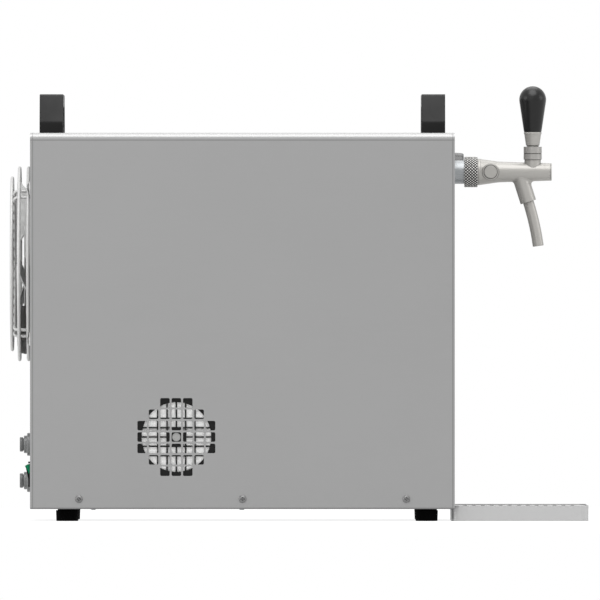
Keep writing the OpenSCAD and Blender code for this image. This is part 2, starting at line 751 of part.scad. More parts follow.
module thermostat_knob() {
    x = front_face + knob_gap;
    color([0.2, 0.2, 0.2]) difference() {
        union() {
            translate([x, knob_y, knob_cz]) rotate([0, 90, 0])
                cylinder(d1 = knob_d, d2 = knob_d - knob_taper, h = knob_h);
            rod_x(x + knob_h / 2 - stat_shaft_l, x + knob_h / 2, stat_shaft_d, knob_y, knob_cz);
        }
        difference() {
            rod_x(x - cut, x + stat_nut_h, stat_nut_d + 2 * stat_nut_gap, knob_y, knob_cz);
            rod_x(x - 2 * cut, x + stat_nut_h + cut, stat_shaft_d, knob_y, knob_cz);
        }
        block([x + knob_h - knob_mark_h, knob_y - knob_mark_w / 2, knob_cz],
            [x + knob_h + cut, knob_y + knob_mark_w / 2, knob_cz + knob_d]);
    }
}

module thermostat_body() {
    x = front_face - sheet_t;
    color("gainsboro") difference() {
        union() {
            block([x - stat_size.x, knob_y - stat_size.y / 2, knob_cz - stat_size.z / 2],
                [x, knob_y + stat_size.y / 2, knob_cz + stat_size.z / 2]);
            rod_x(x, front_face + stat_nut_h, stat_bush_d, knob_y, knob_cz);
        }
        rod_x(x - stat_size.x / 2, front_face + stat_nut_h + cut, stat_shaft_d + 2 * run_gap, knob_y, knob_cz);
    }
}

module tray_outline(inset) {
    translate([tray_cx, 0]) round_square(tray_l - 2 * inset, tray_w - 2 * inset, tray_r - inset);
}
module drip_tray() {
    color("gainsboro") difference() {
        linear_extrude(tray_h) tray_outline(0);
        translate([0, 0, tray_t]) linear_extrude(tray_h) tray_outline(tray_t);
    }
}

// A slotted sheet whose front and rear edges are folded down to stand on the tray's floor
module drip_grid() {
    z0 = tray_t + move_gap;
    z1 = tray_h - grid_drop;
    inset = tray_t + grid_gap;
    nx = floor((tray_l - 2 * inset - 2 * grid_margin + slot_pitch_x - slot_w) / slot_pitch_x);
    ny = floor((tray_w - 2 * inset - 2 * grid_margin + slot_pitch_y - slot_l) / slot_pitch_y);
    color("silver") difference() {
        translate([0, 0, z0]) linear_extrude(z1 - z0) tray_outline(inset);
        block([tray_x0 + inset + grid_t, -tray_w, z0 - cut], [tray_x1 - inset - grid_t, tray_w, z1 - grid_t]);
        translate([0, 0, z0]) linear_extrude(z1 + cut) for (i = [0:nx - 1], j = [0:ny - 1])
            translate([tray_cx + (i - (nx - 1) / 2) * slot_pitch_x, (j - (ny - 1) / 2) * slot_pitch_y]) {
                square([slot_w, slot_l - slot_w], center = true);
                for (s = [-1, 1]) translate([0, s * (slot_l - slot_w) / 2]) circle(d = slot_w);
            }
    }
}

// Rear fan and wire guard: heights in their frame count outwards, towards -X
fan_cz = base_z + fan_z;
fan_tip_gap = 3;
fan_opening_d = fan_d + 2 * fan_tip_gap;
panel_h = -rear_face;
face_ring_h = guard_reach - rear_x - ring_wire_d / 2;
wire_bite = 0.4;
spoke_h = face_ring_h - (ring_wire_d + spoke_wire_d) / 2 + wire_bite;
guard_ring_r = (guard_d - ring_wire_d) / 2;
leg_r = guard_ring_r - (ring_wire_d + spoke_wire_d) / 2 + wire_bite;
side_ring_low = 4.1;
side_ring_pitch = 9;
side_ring_hs = [for (i = [0, 1]) panel_h + side_ring_low + i * side_ring_pitch];
face_ring_r = 86;
face_ring_pitch = 12;
face_rings = 7;
spoke_pair = 9.5;
spoke_angles = [for (a = [42, 138]) each [a, -a]];
spoke_bend_r = 5;
foot_loop_l = 9.5;
guard_shaft_d = 4;
guard_head_d = 9;
guard_head_h = 2.2;
guard_shaft_l = 8;
guard_screw_r = leg_r + foot_loop_l;
guard_screw_ps = [for (a = spoke_angles) [guard_screw_r * sin(a), fan_cz + guard_screw_r * cos(a)]];
blade_gap = 0.8;
blade_h = spoke_h - spoke_wire_d / 2 - blade_gap;
blade_pitch = 30;
blade_camber_r = 90;
blade_t = 1.2;
blade_root_r = 42;
blade_chord = 54;
blade_corner_r = 14;
blade_neck_w = 14;
blade_rise = sqrt(pow(blade_camber_r, 2) - pow(blade_camber_r * sin(blade_pitch) - blade_chord / 2, 2))
    - blade_camber_r * cos(blade_pitch);
hub_r = 24;
hub_l = 15;
hub_out = 5;
hub_h1 = panel_h + hub_out;
hub_h0 = hub_h1 - hub_l;
fan_shaft_d = 6;
fan_shaft_l = 26;
motor_d = 80;
motor_gap = 6;
motor_h1 = hub_h0 - motor_gap;
motor_boss_h = 4;
motor_boss_d = 24;
motor_l = 44;
motor_bore_l = 24;
shroud_hw = 98.5;
shroud_hh = 98;
arm_h = 14;
arm_t = 3;
arm_z = 26;
fin_depth = 45;
fin_hw = 94;
fin_pitch = 8;
fin_t = 0.6;
arm_gap = 4;
fin_x0 = -motor_h1 + motor_boss_h + motor_l + arm_t + arm_gap;
tube_d = 9.5;
tube_rows = 8;
tube_row_pitch = 22;
tube_end = 1;
tube_xs = [fin_x0 + fin_depth / 4, fin_x0 + fin_depth * 3 / 4];

// Places a piece so that its +Z points out of the rear panel along the fan's axis
module at_fan() { translate([0, 0, fan_cz]) rotate([0, -90, 0]) children(); }

module torus(r, d, a = 360) { rotate_extrude(angle = a) translate([r, 0]) circle(d = d, $fn = 24); }

// Wire basket: flat face rings, hairpin spokes bent down to the panel and two side rings
module wire_guard() {
    bend_x = leg_r - spoke_bend_r;
    bend_h = spoke_h - spoke_bend_r;
    foot_h0 = panel_h + spoke_wire_d / 2;
    inner_r = face_ring_r - (face_rings - 1) * face_ring_pitch;
    color("gainsboro") at_fan() {
        for (i = [0:face_rings - 1]) translate([0, 0, face_ring_h])
            torus(face_ring_r - i * face_ring_pitch, ring_wire_d);
        for (h = side_ring_hs) translate([0, 0, h]) torus(guard_ring_r, ring_wire_d);
        for (a = spoke_angles) rotate(a) {
            for (s = [-1, 1]) translate([0, s * spoke_pair / 2, 0]) {
                translate([inner_r, 0, spoke_h]) rotate([0, 90, 0])
                    cylinder(d = spoke_wire_d, h = bend_x - inner_r, $fn = 24);
                translate([bend_x, 0, bend_h]) rotate([90, 0, 0]) torus(spoke_bend_r, spoke_wire_d, 90);
                translate([leg_r, 0, foot_h0]) cylinder(d = spoke_wire_d, h = bend_h - foot_h0, $fn = 24);
                translate([leg_r, 0, foot_h0]) sphere(d = spoke_wire_d, $fn = 24);
                translate([leg_r, 0, foot_h0]) rotate([0, 90, 0])
                    cylinder(d = spoke_wire_d, h = foot_loop_l, $fn = 24);
            }
            translate([leg_r + foot_loop_l, 0, foot_h0]) rotate(-90) torus(spoke_pair / 2, spoke_wire_d, 180);
        }
    }
}

module guard_screws() {
    color("gray") for (p = guard_screw_ps) translate([rear_face - spoke_wire_d, p.x, p.y]) rotate([0, -90, 0])
        pan_screw(guard_head_d, guard_head_h, guard_shaft_d, guard_shaft_l);
}

// Flat outline of a blade: a broad plate with round corners on a narrow neck, trimmed by the tip circle
module blade_outline() {
    tip_r = fan_d / 2;
    intersection() {
        circle(r = tip_r, $fn = 96);
        union() {
            translate([(blade_root_r + tip_r) / 2, 0])
                round_square(tip_r - blade_root_r, blade_chord, blade_corner_r);
            translate([0, -blade_neck_w / 2]) square([blade_root_r + blade_corner_r, blade_neck_w]);
        }
    }
}

// One cambered blade: a curved sheet set at its pitch and trimmed to the outline
module blade() {
    intersection() {
        translate([0, 0, blade_h - blade_rise]) rotate([blade_pitch, 0, 0]) translate([0, 0, -blade_camber_r])
            rotate([0, 90, 0]) difference() {
                cylinder(r = blade_camber_r, h = fan_d, $fn = 96);
                translate([0, 0, -cut]) cylinder(r = blade_camber_r - blade_t, h = fan_d + 2 * cut, $fn = 96);
            }
        translate([0, 0, motor_h1 - motor_l]) linear_extrude(face_ring_h - motor_h1 + motor_l) blade_outline();
    }
}
module fan_blade() {
    color("gainsboro") at_fan() {
        for (i = [0:fan_blades - 1]) rotate(180 + i * 360 / fan_blades) blade();
        translate([0, 0, hub_h0]) cylinder(r = hub_r, h = hub_h1 - hub_h0);
        translate([0, 0, hub_h0 - fan_shaft_l]) cylinder(d = fan_shaft_d, h = fan_shaft_l);
    }
}

module fan_motor() {
    color("dimgray") at_fan() difference() {
        union() {
            translate([0, 0, motor_h1 - motor_boss_h]) cylinder(d = motor_boss_d, h = motor_boss_h);
            translate([0, 0, motor_h1 - motor_boss_h - motor_l]) cylinder(d = motor_d, h = motor_l);
        }
        translate([0, 0, motor_h1 - motor_bore_l]) cylinder(d = fan_shaft_d + 2 * run_gap, h = motor_bore_l + cut);
    }
}

// Air duct from the condenser to the rear panel with two arms that carry the motor
module fan_shroud() {
    x0 = rear_face + sheet_t;
    arm_x = fin_x0 - arm_gap - arm_t;
    color("silver") {
        difference() {
            block([x0, -shroud_hw, fan_cz - shroud_hh], [fin_x0, shroud_hw, fan_cz + shroud_hh]);
            block([x0 - cut, sheet_t - shroud_hw, fan_cz - shroud_hh + sheet_t],
                [fin_x0 + cut, shroud_hw - sheet_t, fan_cz + shroud_hh - sheet_t]);
        }
        for (s = [-1, 1]) block([arm_x, -shroud_hw + sheet_t / 2, fan_cz + s * arm_z - arm_h / 2],
            [arm_x + arm_t, shroud_hw - sheet_t / 2, fan_cz + s * arm_z + arm_h / 2]);
    }
}

function tube_z(i) = fan_cz + (i - (tube_rows - 1) / 2) * tube_row_pitch;

module condenser_fins() {
    n = floor(fin_hw / fin_pitch);
    module plate(y, t) {
        along_y(y - t / 2, t) difference() {
            translate([fin_x0, fan_cz - shroud_hh]) square([fin_depth, 2 * shroud_hh]);
            for (x = tube_xs, i = [0:tube_rows - 1]) translate([x, tube_z(i)]) circle(d = tube_d + 2 * screw_gap);
        }
    }
    color("gainsboro") {
        for (i = [-n:n]) plate(i * fin_pitch, fin_t);
        for (s = [-1, 1]) plate(s * (shroud_hw - sheet_t / 2), sheet_t);
    }
}

// Serpentine of two rows, linked by bends outside the end plates
module condenser_tube() {
    hw = shroud_hw + tube_end;
    color("peru") {
        for (x = tube_xs, i = [0:tube_rows - 1]) rod_y(-hw, hw, tube_d, x, tube_z(i));
        for (x = tube_xs, i = [0:tube_rows - 2]) {
            s = i % 2 == 0 ? 1 : -1;
            translate([x, s * hw, (tube_z(i) + tube_z(i + 1)) / 2]) rotate([0, -90, 0]) rotate(s > 0 ? 0 : 180)
                rotate_extrude(angle = 180) translate([tube_row_pitch / 2, 0]) circle(d = tube_d);
        }
        translate([(tube_xs[0] + tube_xs[1]) / 2, -hw, tube_z(0)]) rotate(180)
            rotate_extrude(angle = 180) translate([(tube_xs[1] - tube_xs[0]) / 2, 0]) circle(d = tube_d);
    }
}

// Push-in bulkhead fittings for the water and gas tubes
water_cz = base_z + water_z;
co2_cz = base_z + co2_z;
fitting_cy = fitting_y - half_w;
fitting_flange_d = 23;
fitting_flange_t = 5.2;
fitting_ring_d = 17.6;
fitting_ring_l = 3.2;
fitting_thread_d = 16;
fitting_thread_l = 12;
fitting_stub_d = 10;
fitting_stub_l = 12;
fitting_nut_d = 24;
fitting_nut_h = 5;
collet_d = 12.4;
collet_flange_d = 14.5;
collet_flange_t = 3.2;
collet_travel = 0.8;
collet_l = 12;
tube_seat_l = 7;
line_bore_d = 6;

module fitting(z) {
    out = rear_face - fitting_flange_t - fitting_ring_l;
    stub = rear_face + sheet_t + fitting_thread_l;
    color("gray") difference() {
        union() {
            rod_x(out, rear_face, fitting_ring_d, fitting_cy, z);
            rod_x(rear_face - fitting_flange_t, rear_face, fitting_flange_d, fitting_cy, z);
            rod_x(rear_face, stub, fitting_thread_d, fitting_cy, z);
            rod_x(stub, stub + fitting_stub_l, fitting_stub_d, fitting_cy, z);
        }
        rod_x(out - cut, out + collet_l + cut, collet_d + 2 * run_gap, fitting_cy, z);
        rod_x(out, out + collet_l + tube_seat_l, tube_bore_d, fitting_cy, z);
        rod_x(out, stub + fitting_stub_l + cut, line_bore_d, fitting_cy, z);
    }
}
module water_fitting() { fitting(water_cz); }
module co2_fitting() { fitting(co2_cz); }

module collet(z) {
    lip = rear_face - fitting_flange_t - fitting_ring_l - collet_travel;
    color("silver") difference() {
        union() {
            rod_x(lip - collet_flange_t, lip, collet_flange_d, fitting_cy, z);
            rod_x(lip, lip + collet_l, collet_d, fitting_cy, z);
        }
        rod_x(lip - collet_flange_t - cut, lip + collet_l + cut, tube_bore_d, fitting_cy, z);
    }
}
module water_collet() { collet(water_cz); }
module co2_collet() { collet(co2_cz); }

// Nuts behind the panels: two on the fittings, one on the shank, and one under the knob
module panel_nuts() {
    module nut(x, y, z, d, h, hole) {
        translate([x, y, z]) rotate([0, 90, 0]) difference() {
            cylinder(d = d, h = h, $fn = 6);
            translate([0, 0, -cut]) cylinder(d = hole + 2 * screw_gap, h = h + 2 * cut);
        }
    }
    color("gray") {
        for (z = [water_cz, co2_cz])
            nut(rear_face + sheet_t, fitting_cy, z, fitting_nut_d, fitting_nut_h, fitting_thread_d);
        nut(front_face - sheet_t - panel_nut_h, 0, tap_cz, shank_nut_d, panel_nut_h, shank_tail_d);
        nut(front_face, knob_y, knob_cz, stat_nut_d, stat_nut_h, stat_bush_d);
    }
}

// Rocker switch and mains inlet
switch_cy = switch_y - half_w;
switch_cz = base_z + switch_z;
bezel_t = 3.5;
bezel_side = 3.25;
bezel_end = 3;
rocker_w = switch_w - 2 * bezel_side;
rocker_hh = switch_h / 2 - bezel_end;
rocker_out = 5;
rocker_mid = 3;
rocker_back = 5;
rocker_waist = 4;
rocker_tilt = 12;
rocker_pin_d = 3;
rocker_side = 0.4;
switch_wall = 1.2;
rocker_end = 1.2;
rocker_heel = 2;
rocker_heel_rise = 0.5;
bezel_base = 0.8;
switch_open_h = 2 * rocker_hh + 2 * rocker_end;
switch_open_w = rocker_w + 2 * rocker_side;
switch_body_h = switch_open_h + 2 * switch_wall;
switch_body_w = switch_open_w + 2 * switch_wall;
switch_body_l = 18;
inlet_cy = 30;
inlet_cz = switch_cz;
inlet_flange_w = 31;
inlet_flange_h = 24;
inlet_flange_t = 2.5;
inlet_flange_r = 4;
inlet_body_w = 27.4;
inlet_body_h = 20;
inlet_body_l = 20;
inlet_hole_w = 24.6;
inlet_hole_h = 17;
inlet_hole_l = 18;
inlet_hole_r = 3;
inlet_pin = [14, 2, 4];
inlet_pin_pitch = 7;
inlet_pin_step = 2;

// Beside the rocker's raised half the bezel's sides are cut down to their base
module switch_frame() {
    x0 = rear_face - bezel_t;
    base = rear_face - bezel_base;
    color([0.15, 0.15, 0.15]) difference() {
        union() {
            block([x0, switch_cy - switch_w / 2, switch_cz - switch_h / 2],
                [rear_face, switch_cy + switch_w / 2, switch_cz + switch_h / 2]);
            block([x0, switch_cy - switch_body_w / 2, switch_cz - switch_body_h / 2],
                [rear_face + switch_body_l, switch_cy + switch_body_w / 2, switch_cz + switch_body_h / 2]);
        }
        block([x0 - cut, switch_cy - switch_open_w / 2, switch_cz - switch_open_h / 2],
            [rear_face + switch_body_l - switch_wall, switch_cy + switch_open_w / 2, switch_cz + switch_open_h / 2]);
        rod_y(switch_cy - switch_body_w, switch_cy + switch_body_w, rocker_pin_d + 2 * run_gap,
            rear_face, switch_cz);
        along_y(switch_cy - switch_w / 2 - cut, switch_w + 2 * cut) polygon([[x0 - cut, switch_cz - cut],
            [base, switch_cz + base - x0], [base, switch_cz + switch_open_h / 2],
            [x0 - cut, switch_cz + switch_open_h / 2]]);
    }
}

// The rocker stands tilted on its trunnions with its upper half out
module switch_rocker() {
    h = rocker_hh;
    heel_h = h + rocker_heel_rise;
    color([0.06, 0.48, 0.33]) {
        translate([rear_face, 0, switch_cz]) rotate([0, -rocker_tilt, 0])
            along_y(switch_cy - rocker_w / 2, rocker_w) polygon([[-rocker_out, h], [-rocker_mid, 0],
                [-rocker_out, -h], [rocker_heel, -heel_h], [rocker_back, -rocker_waist],
                [rocker_back, rocker_waist], [rocker_heel, heel_h]]);
        rod_y(switch_cy - switch_body_w / 2, switch_cy + switch_body_w / 2, rocker_pin_d, rear_face, switch_cz);
    }
}

module mains_inlet() {
    x0 = rear_face - inlet_flange_t;
    color([0.12, 0.12, 0.12]) difference() {
        union() {
            along_x(x0, inlet_flange_t) translate([inlet_cy, inlet_cz])
                round_square(inlet_flange_w, inlet_flange_h, inlet_flange_r);
            along_x(x0, inlet_flange_t + inlet_body_l) translate([inlet_cy, inlet_cz])
                square([inlet_body_w, inlet_body_h], center = true);
        }
        along_x(x0 - cut, inlet_hole_l + cut) translate([inlet_cy, inlet_cz])
            round_square(inlet_hole_w, inlet_hole_h, inlet_hole_r);
    }
}

module inlet_pins() {
    x = rear_face - inlet_flange_t + inlet_hole_l;
    color("silver") for (i = [-1:1])
        translate([x - inlet_pin.x, inlet_cy + i * inlet_pin_pitch - inlet_pin.y / 2,
            inlet_cz - inlet_pin.z / 2 + (i == 0 ? inlet_pin_step : -inlet_pin_step)]) cube(inlet_pin);
}

// Places a piece so that its +Z points into the casing along the side fan's axis
module at_side_fan() { translate([grille_cx, side_fan_y, grille_cz]) rotate([-90, 0, 0]) children(); }

module side_fan_frame() {
    screw_pitch = side_fan_s - 2 * side_screw_edge;
    color([0.15, 0.15, 0.15]) at_side_fan() {
        difference() {
            linear_extrude(side_fan_d) round_square(side_fan_s, side_fan_s, side_fan_s / 20);
            translate([0, 0, -cut]) cylinder(d = side_bore_d, h = side_fan_d + 2 * cut);
            for (x = [-1, 1], y = [-1, 1]) translate([x * screw_pitch / 2, y * screw_pitch / 2, -cut])
                cylinder(d = cover_shaft_d, h = side_fan_d + 2 * cut);
        }
        translate([0, 0, side_fan_d - side_base_t]) linear_extrude(side_base_t) difference() {
            union() {
                circle(d = side_hub_d);
                for (a = [45, 135]) rotate(a) square([side_bore_d + 2 * cut, side_strut_w], center = true);
            }
            circle(d = side_axle_d + 2 * run_gap);
        }
    }
}

module side_fan_rotor() {
    tip = side_bore_d / 2 - side_tip_gap;
    top = side_fan_d - side_base_t - 1;
    color([0.2, 0.2, 0.2]) at_side_fan() {
        translate([0, 0, top - side_rotor_t]) cylinder(d = side_hub_d, h = side_rotor_t);
        translate([0, 0, top - cut]) cylinder(d = side_axle_d, h = side_base_t + 1);
        intersection() {
            translate([0, 0, top - side_rotor_t]) cylinder(r = tip, h = side_rotor_t);
            for (i = [0:side_blades - 1]) rotate(i * 360 / side_blades)
                translate([side_hub_d / 2 - cut, 0, top - side_rotor_t / 2]) rotate([side_blade_pitch, 0, 0])
                    translate([0, -side_rotor_t / 2, -side_blade_t / 2])
                        cube([tip, side_rotor_t, side_blade_t]);
        }
    }
}

// Square-mesh finger guard with a solid hub
module side_fan_guard() {
    color([0.1, 0.1, 0.1]) translate([0, guard_y, 0]) along_y(0, side_guard_t) translate([grille_cx, grille_cz]) {
        difference() {
            square(side_fan_s, center = true);
            circle(r = side_open_r);
        }
        intersection() {
            circle(r = side_open_r + side_bar_w);
            for (a = [0, 90], i = [-2:2]) rotate(a) translate([i * side_bar_pitch, 0])
                square([side_bar_w, side_fan_s], center = true);
        }
        circle(r = side_hub_r);
    }
}

module side_filter() {
    color("white") translate([0, guard_y + side_guard_t, 0]) along_y(0, filter_t)
        translate([grille_cx, grille_cz]) square(side_fan_s - 2 * filter_gap, center = true);
}

// Folded stand that carries the side fan on the pan
module fan_stand() {
    w = side_fan_s - 2 * stand_edge;
    top = grille_cz - side_fan_s / 2;
    color("silver") along_y(side_fan_y, side_fan_d) difference() {
        translate([grille_cx - w / 2, floor_z]) square([w, top - floor_z]);
        translate([grille_cx - w / 2 + sheet_t, floor_z - cut]) square([w - 2 * sheet_t, top - floor_z - sheet_t + cut]);
    }
}

// Compressor on rubber grommets
comp_bolt_x = 62.3;
comp_bolt_pitch_x = 148.8;
comp_bolt_pitch_y = 90;
comp_side = 0.27;
comp_cx = rear_x + comp_bolt_x + comp_bolt_pitch_x / 2;
comp_cy = comp_side * half_w;
comp_bolt_xs = [for (s = [-1, 1]) comp_cx + s * comp_bolt_pitch_x / 2];
comp_bolt_ys = [for (s = [-1, 1]) comp_cy + s * comp_bolt_pitch_y / 2];
grommet_h = 12;
grommet_d = 20;
comp_rail_z = floor_z + grommet_h;
comp_rail_t = 3;
comp_rail_edge = 10;
comp_nut_d = 8;
comp_nut_h = 3.2;
comp_bolt_end = 2;
comp_bolt_l = sheet_t + grommet_h + comp_rail_t + comp_nut_h + comp_bolt_end;
comp_r = 52;
comp_h = 112;
comp_dome_r = 26;
pipe_d = 8;
pipe_stub = 10;
comp_pipe_z = comp_rail_z + comp_rail_t + comp_h / 2;

// Upright profile of a vessel with round shoulders, for turning round Z
module vessel(r, h, shoulder) {
    rotate_extrude() {
        square([r - shoulder, h]);
        translate([0, shoulder]) square([r, h - 2 * shoulder]);
        for (z = [shoulder, h - shoulder]) intersection() {
            translate([r - shoulder, z]) circle(r = shoulder);
            square([r, h]);
        }
    }
}

module compressor() {
    color([0.13, 0.13, 0.13]) difference() {
        union() {
            block([comp_bolt_xs[0] - comp_rail_edge, comp_bolt_ys[0] - comp_rail_edge, comp_rail_z],
                [comp_bolt_xs[1] + comp_rail_edge, comp_bolt_ys[1] + comp_rail_edge, comp_rail_z + comp_rail_t]);
            translate([comp_cx, comp_cy, comp_rail_z + comp_rail_t - cut]) vessel(comp_r, comp_h, comp_dome_r);
            rod_x(comp_cx, comp_cx + comp_r + pipe_stub, pipe_d, comp_cy, comp_pipe_z);
            rod_y(comp_cy, comp_cy + comp_r + pipe_stub, pipe_d, comp_cx, comp_pipe_z);
        }
        for (x = comp_bolt_xs, y = comp_bolt_ys)
            rod_z(comp_rail_z - cut, comp_rail_z + comp_rail_t + cut, base_screw_d + 2 * screw_gap, x, y);
    }
}

module compressor_mounts() {
    color("black") for (x = comp_bolt_xs, y = comp_bolt_ys) difference() {
        rod_z(floor_z, comp_rail_z, grommet_d, x, y);
        rod_z(floor_z - cut, comp_rail_z + cut, base_screw_d + 2 * screw_gap, x, y);
    }
}

// Insulated cooling block, carbonator vessel and pump on the pan
block_l = 90;
block_w = 115;
block_h = 220;
block_r = 12;
block_front_gap = 40;
block_side_gap = 14;
block_cx = front_face - block_front_gap - block_l / 2;
block_cy = half_w - block_side_gap - block_w / 2;
block_top = floor_z + block_h;
block_port = 18;
vessel_r = 40;
vessel_h = 220;
vessel_skirt_h = 10;
vessel_wall = 1.5;
vessel_gap = 6;
vessel_side = 0.51;
vessel_cx = block_cx - block_l / 2 - vessel_r - vessel_gap;
vessel_cy = -vessel_side * half_w;
vessel_top = floor_z + vessel_skirt_h + vessel_h;
vessel_port_y = 18;
pump_gap = 8;
pump_motor_d = 76;
pump_motor_l = 62;
pump_head_d = 50;
pump_head_l = 42;
pump_side_gap = 22;
pump_foot_h = 8;
pump_cy = pump_side_gap + pump_motor_d / 2 - half_w;
pump_cz = floor_z + pump_foot_h + pump_motor_d / 2;
pump_x0 = vessel_cx + vessel_r + pump_gap;
pump_foot_w = 40;
pump_port_x = pump_x0 + pump_head_l / 2;

module cooling_block() {
    color([0.25, 0.25, 0.25]) {
        translate([block_cx, block_cy, floor_z]) linear_extrude(block_h) round_square(block_l, block_w, block_r);
        for (x = [-1, 1], y = [-1, 1])
            rod_z(block_top, block_top + pipe_stub, pipe_d, block_cx + x * block_port, block_cy + y * block_port);
    }
}

module carbonator() {
    color("silver") translate([vessel_cx, vessel_cy, floor_z]) difference() {
        union() {
            difference() {
                cylinder(r = vessel_r - sheet_t, h = vessel_skirt_h + vessel_r / 2);
                translate([0, 0, -cut]) cylinder(r = vessel_r - 2 * sheet_t, h = vessel_skirt_h + vessel_r / 2 + 2 * cut);
            }
            translate([0, 0, vessel_skirt_h]) vessel(vessel_r, vessel_h, vessel_r / 2);
            for (y = [-1:1]) translate([0, y * vessel_port_y, vessel_skirt_h + vessel_h - cut])
                cylinder(d = pipe_d, h = pipe_stub + cut);
        }
        translate([0, 0, vessel_skirt_h + vessel_wall])
            vessel(vessel_r - vessel_wall, vessel_h - 2 * vessel_wall, vessel_r / 2 - vessel_wall);
        for (y = [-1:1]) translate([0, y * vessel_port_y, vessel_skirt_h + vessel_h / 2])
            cylinder(d = line_bore_d, h = vessel_h);
    }
}

// Rotary vane pump clamped in line with its motor
module pump() {
    x1 = pump_x0 + pump_head_l;
    color("dimgray") {
        rod_x(pump_x0, x1, pump_head_d, pump_cy, pump_cz);
        rod_x(x1, x1 + pump_motor_l, pump_motor_d, pump_cy, pump_cz);
        block([x1 + pump_motor_l / 4, pump_cy - pump_foot_w / 2, floor_z],
            [x1 + pump_motor_l * 3 / 4, pump_cy + pump_foot_w / 2, pump_cz]);
        rod_y(pump_cy - pump_head_d / 2 - pipe_stub, pump_cy, pipe_d, pump_port_x, pump_cz);
        rod_z(pump_cz, pump_cz + pump_head_d / 2 + pipe_stub, pipe_d, pump_port_x, pump_cy);
    }
}

// Internal tubes: each route's corners are rounded and a ring of points is swept along it
hose_r = 5;
hose_bend = 14;
hose_sides = 8;
bend_steps = 4;
ring_ref = [0.31, 0.47, 0.83];

function bend3(a, b, c, r, n) =
    let (u = unit(a - b), v = unit(c - b), half = acos(u * v) / 2, t = r / tan(half),
         m = b + unit(u + v) * r / sin(half), e0 = unit(b + u * t - m), e2 = unit(b + v * t - m),
         w = acos(e0 * e2))
    [for (i = [0:n]) m + r * (sin(w - w * i / n) * e0 + sin(w * i / n) * e2) / sin(w)];
function route(p, r) = concat([p[0]], [for (i = [1:len(p) - 2]) each bend3(p[i - 1], p[i], p[i + 1], r, bend_steps)],
    [p[len(p) - 1]]);
function tangent(p, i) = unit(p[min(i + 1, len(p) - 1)] - p[max(i - 1, 0)]);

module hose(points, r = hose_r, bend = hose_bend) {
    p = route(points, bend);
    n = len(p);
    k = hose_sides;
    ring = [for (i = [0:n - 1]) let (t = tangent(p, i), e = unit(cross(t, ring_ref)), f = cross(t, e))
        for (j = [0:k - 1]) p[i] + r * (cos(360 * j / k) * e + sin(360 * j / k) * f)];
    sides = [for (i = [0:n - 2], j = [0:k - 1]) let (a = i * k + j, b = i * k + (j + 1) % k)
        each [[a, a + k, b], [b, a + k, b + k]]];
    polyhedron(ring, concat(sides, [[for (j = [0:k - 1]) j]], [[for (j = [0:k - 1]) n * k - 1 - j]]));
}

// Routes inside the casing, chosen round the vessels
fitting_end = rear_face + sheet_t + fitting_thread_l + fitting_stub_l;
run_out = 20;
lane_gap = 3;
pipe_bend = 10;
inlet_bend = 7;
liquid_run = 80;
water_run = 50;
gas_run = 45;
tap_line_drop = 49;
tap_line_run = 25;
lane_y = side_fan_y + side_fan_d + lane_gap + hose_r;
wall_lane_y = pump_cy - pump_head_d / 2 - pipe_stub - inlet_bend - hose_r;
pipe_lane_y = half_w - sheet_t - seam - pipe_d / 2 - lane_gap / 2;
gas_lane_y = vessel_cy - vessel_port_y;
lane_x = grille_cx + side_fan_s / 2 - hose_r;
gas_lane_gap = 16;
gas_lane_x = vessel_cx - vessel_r - gas_lane_gap;
low_lane_h = 12;
low_z = floor_z + low_lane_h;
gas_drop = 18;
gas_z = fan_cz - shroud_hh - gas_drop;
lane_rise = 40;
high_z = vessel_top + lane_rise;
liquid_drop = 18;
liquid_z = inner_top - liquid_drop;
outlet_y = -shroud_hw - tube_end;
vessel_end = vessel_top + pipe_stub;
block_end = block_top + pipe_stub;

module water_lines() {
    pump_in = pump_cy - pump_head_d / 2 - pipe_stub;
    pump_out = pump_cz + pump_head_d / 2 + pipe_stub;
    x0 = block_cx - block_port;
    x1 = block_cx + block_port;
    y0 = block_cy - block_port;
    y1 = vessel_cy + vessel_port_y;
    color("white") {
        hose([[fitting_end, fitting_cy, water_cz], [fitting_end + run_out, fitting_cy, water_cz],
            [fitting_end + water_run, lane_y, low_z], [lane_x, lane_y, low_z], [vessel_cx - run_out, wall_lane_y, low_z],
            [pump_port_x, wall_lane_y, low_z], [pump_port_x, wall_lane_y, pump_cz],
            [pump_port_x, pump_in, pump_cz]], bend = inlet_bend);
        hose([[fitting_end, fitting_cy, co2_cz], [fitting_end + run_out, fitting_cy, co2_cz],
            [fitting_end + gas_run, gas_lane_y, gas_z], [gas_lane_x, gas_lane_y, gas_z],
            [gas_lane_x, gas_lane_y, high_z], [vessel_cx, gas_lane_y, high_z], [vessel_cx, gas_lane_y, vessel_end]]);
        hose([[pump_port_x, pump_cy, pump_out], [pump_port_x, pump_cy, high_z],
            [vessel_cx, vessel_cy, high_z], [vessel_cx, vessel_cy, vessel_end]]);
        hose([[vessel_cx, y1, vessel_end], [vessel_cx, y1, high_z], [x0, y0, high_z], [x0, y0, block_end]]);
        hose([[x1, y0, block_end], [x1, y0, tap_cz - tap_line_drop], [x1 - tap_line_run, 0, tap_cz],
            [front_face - shank_tail_l, 0, tap_cz]]);
    }
}

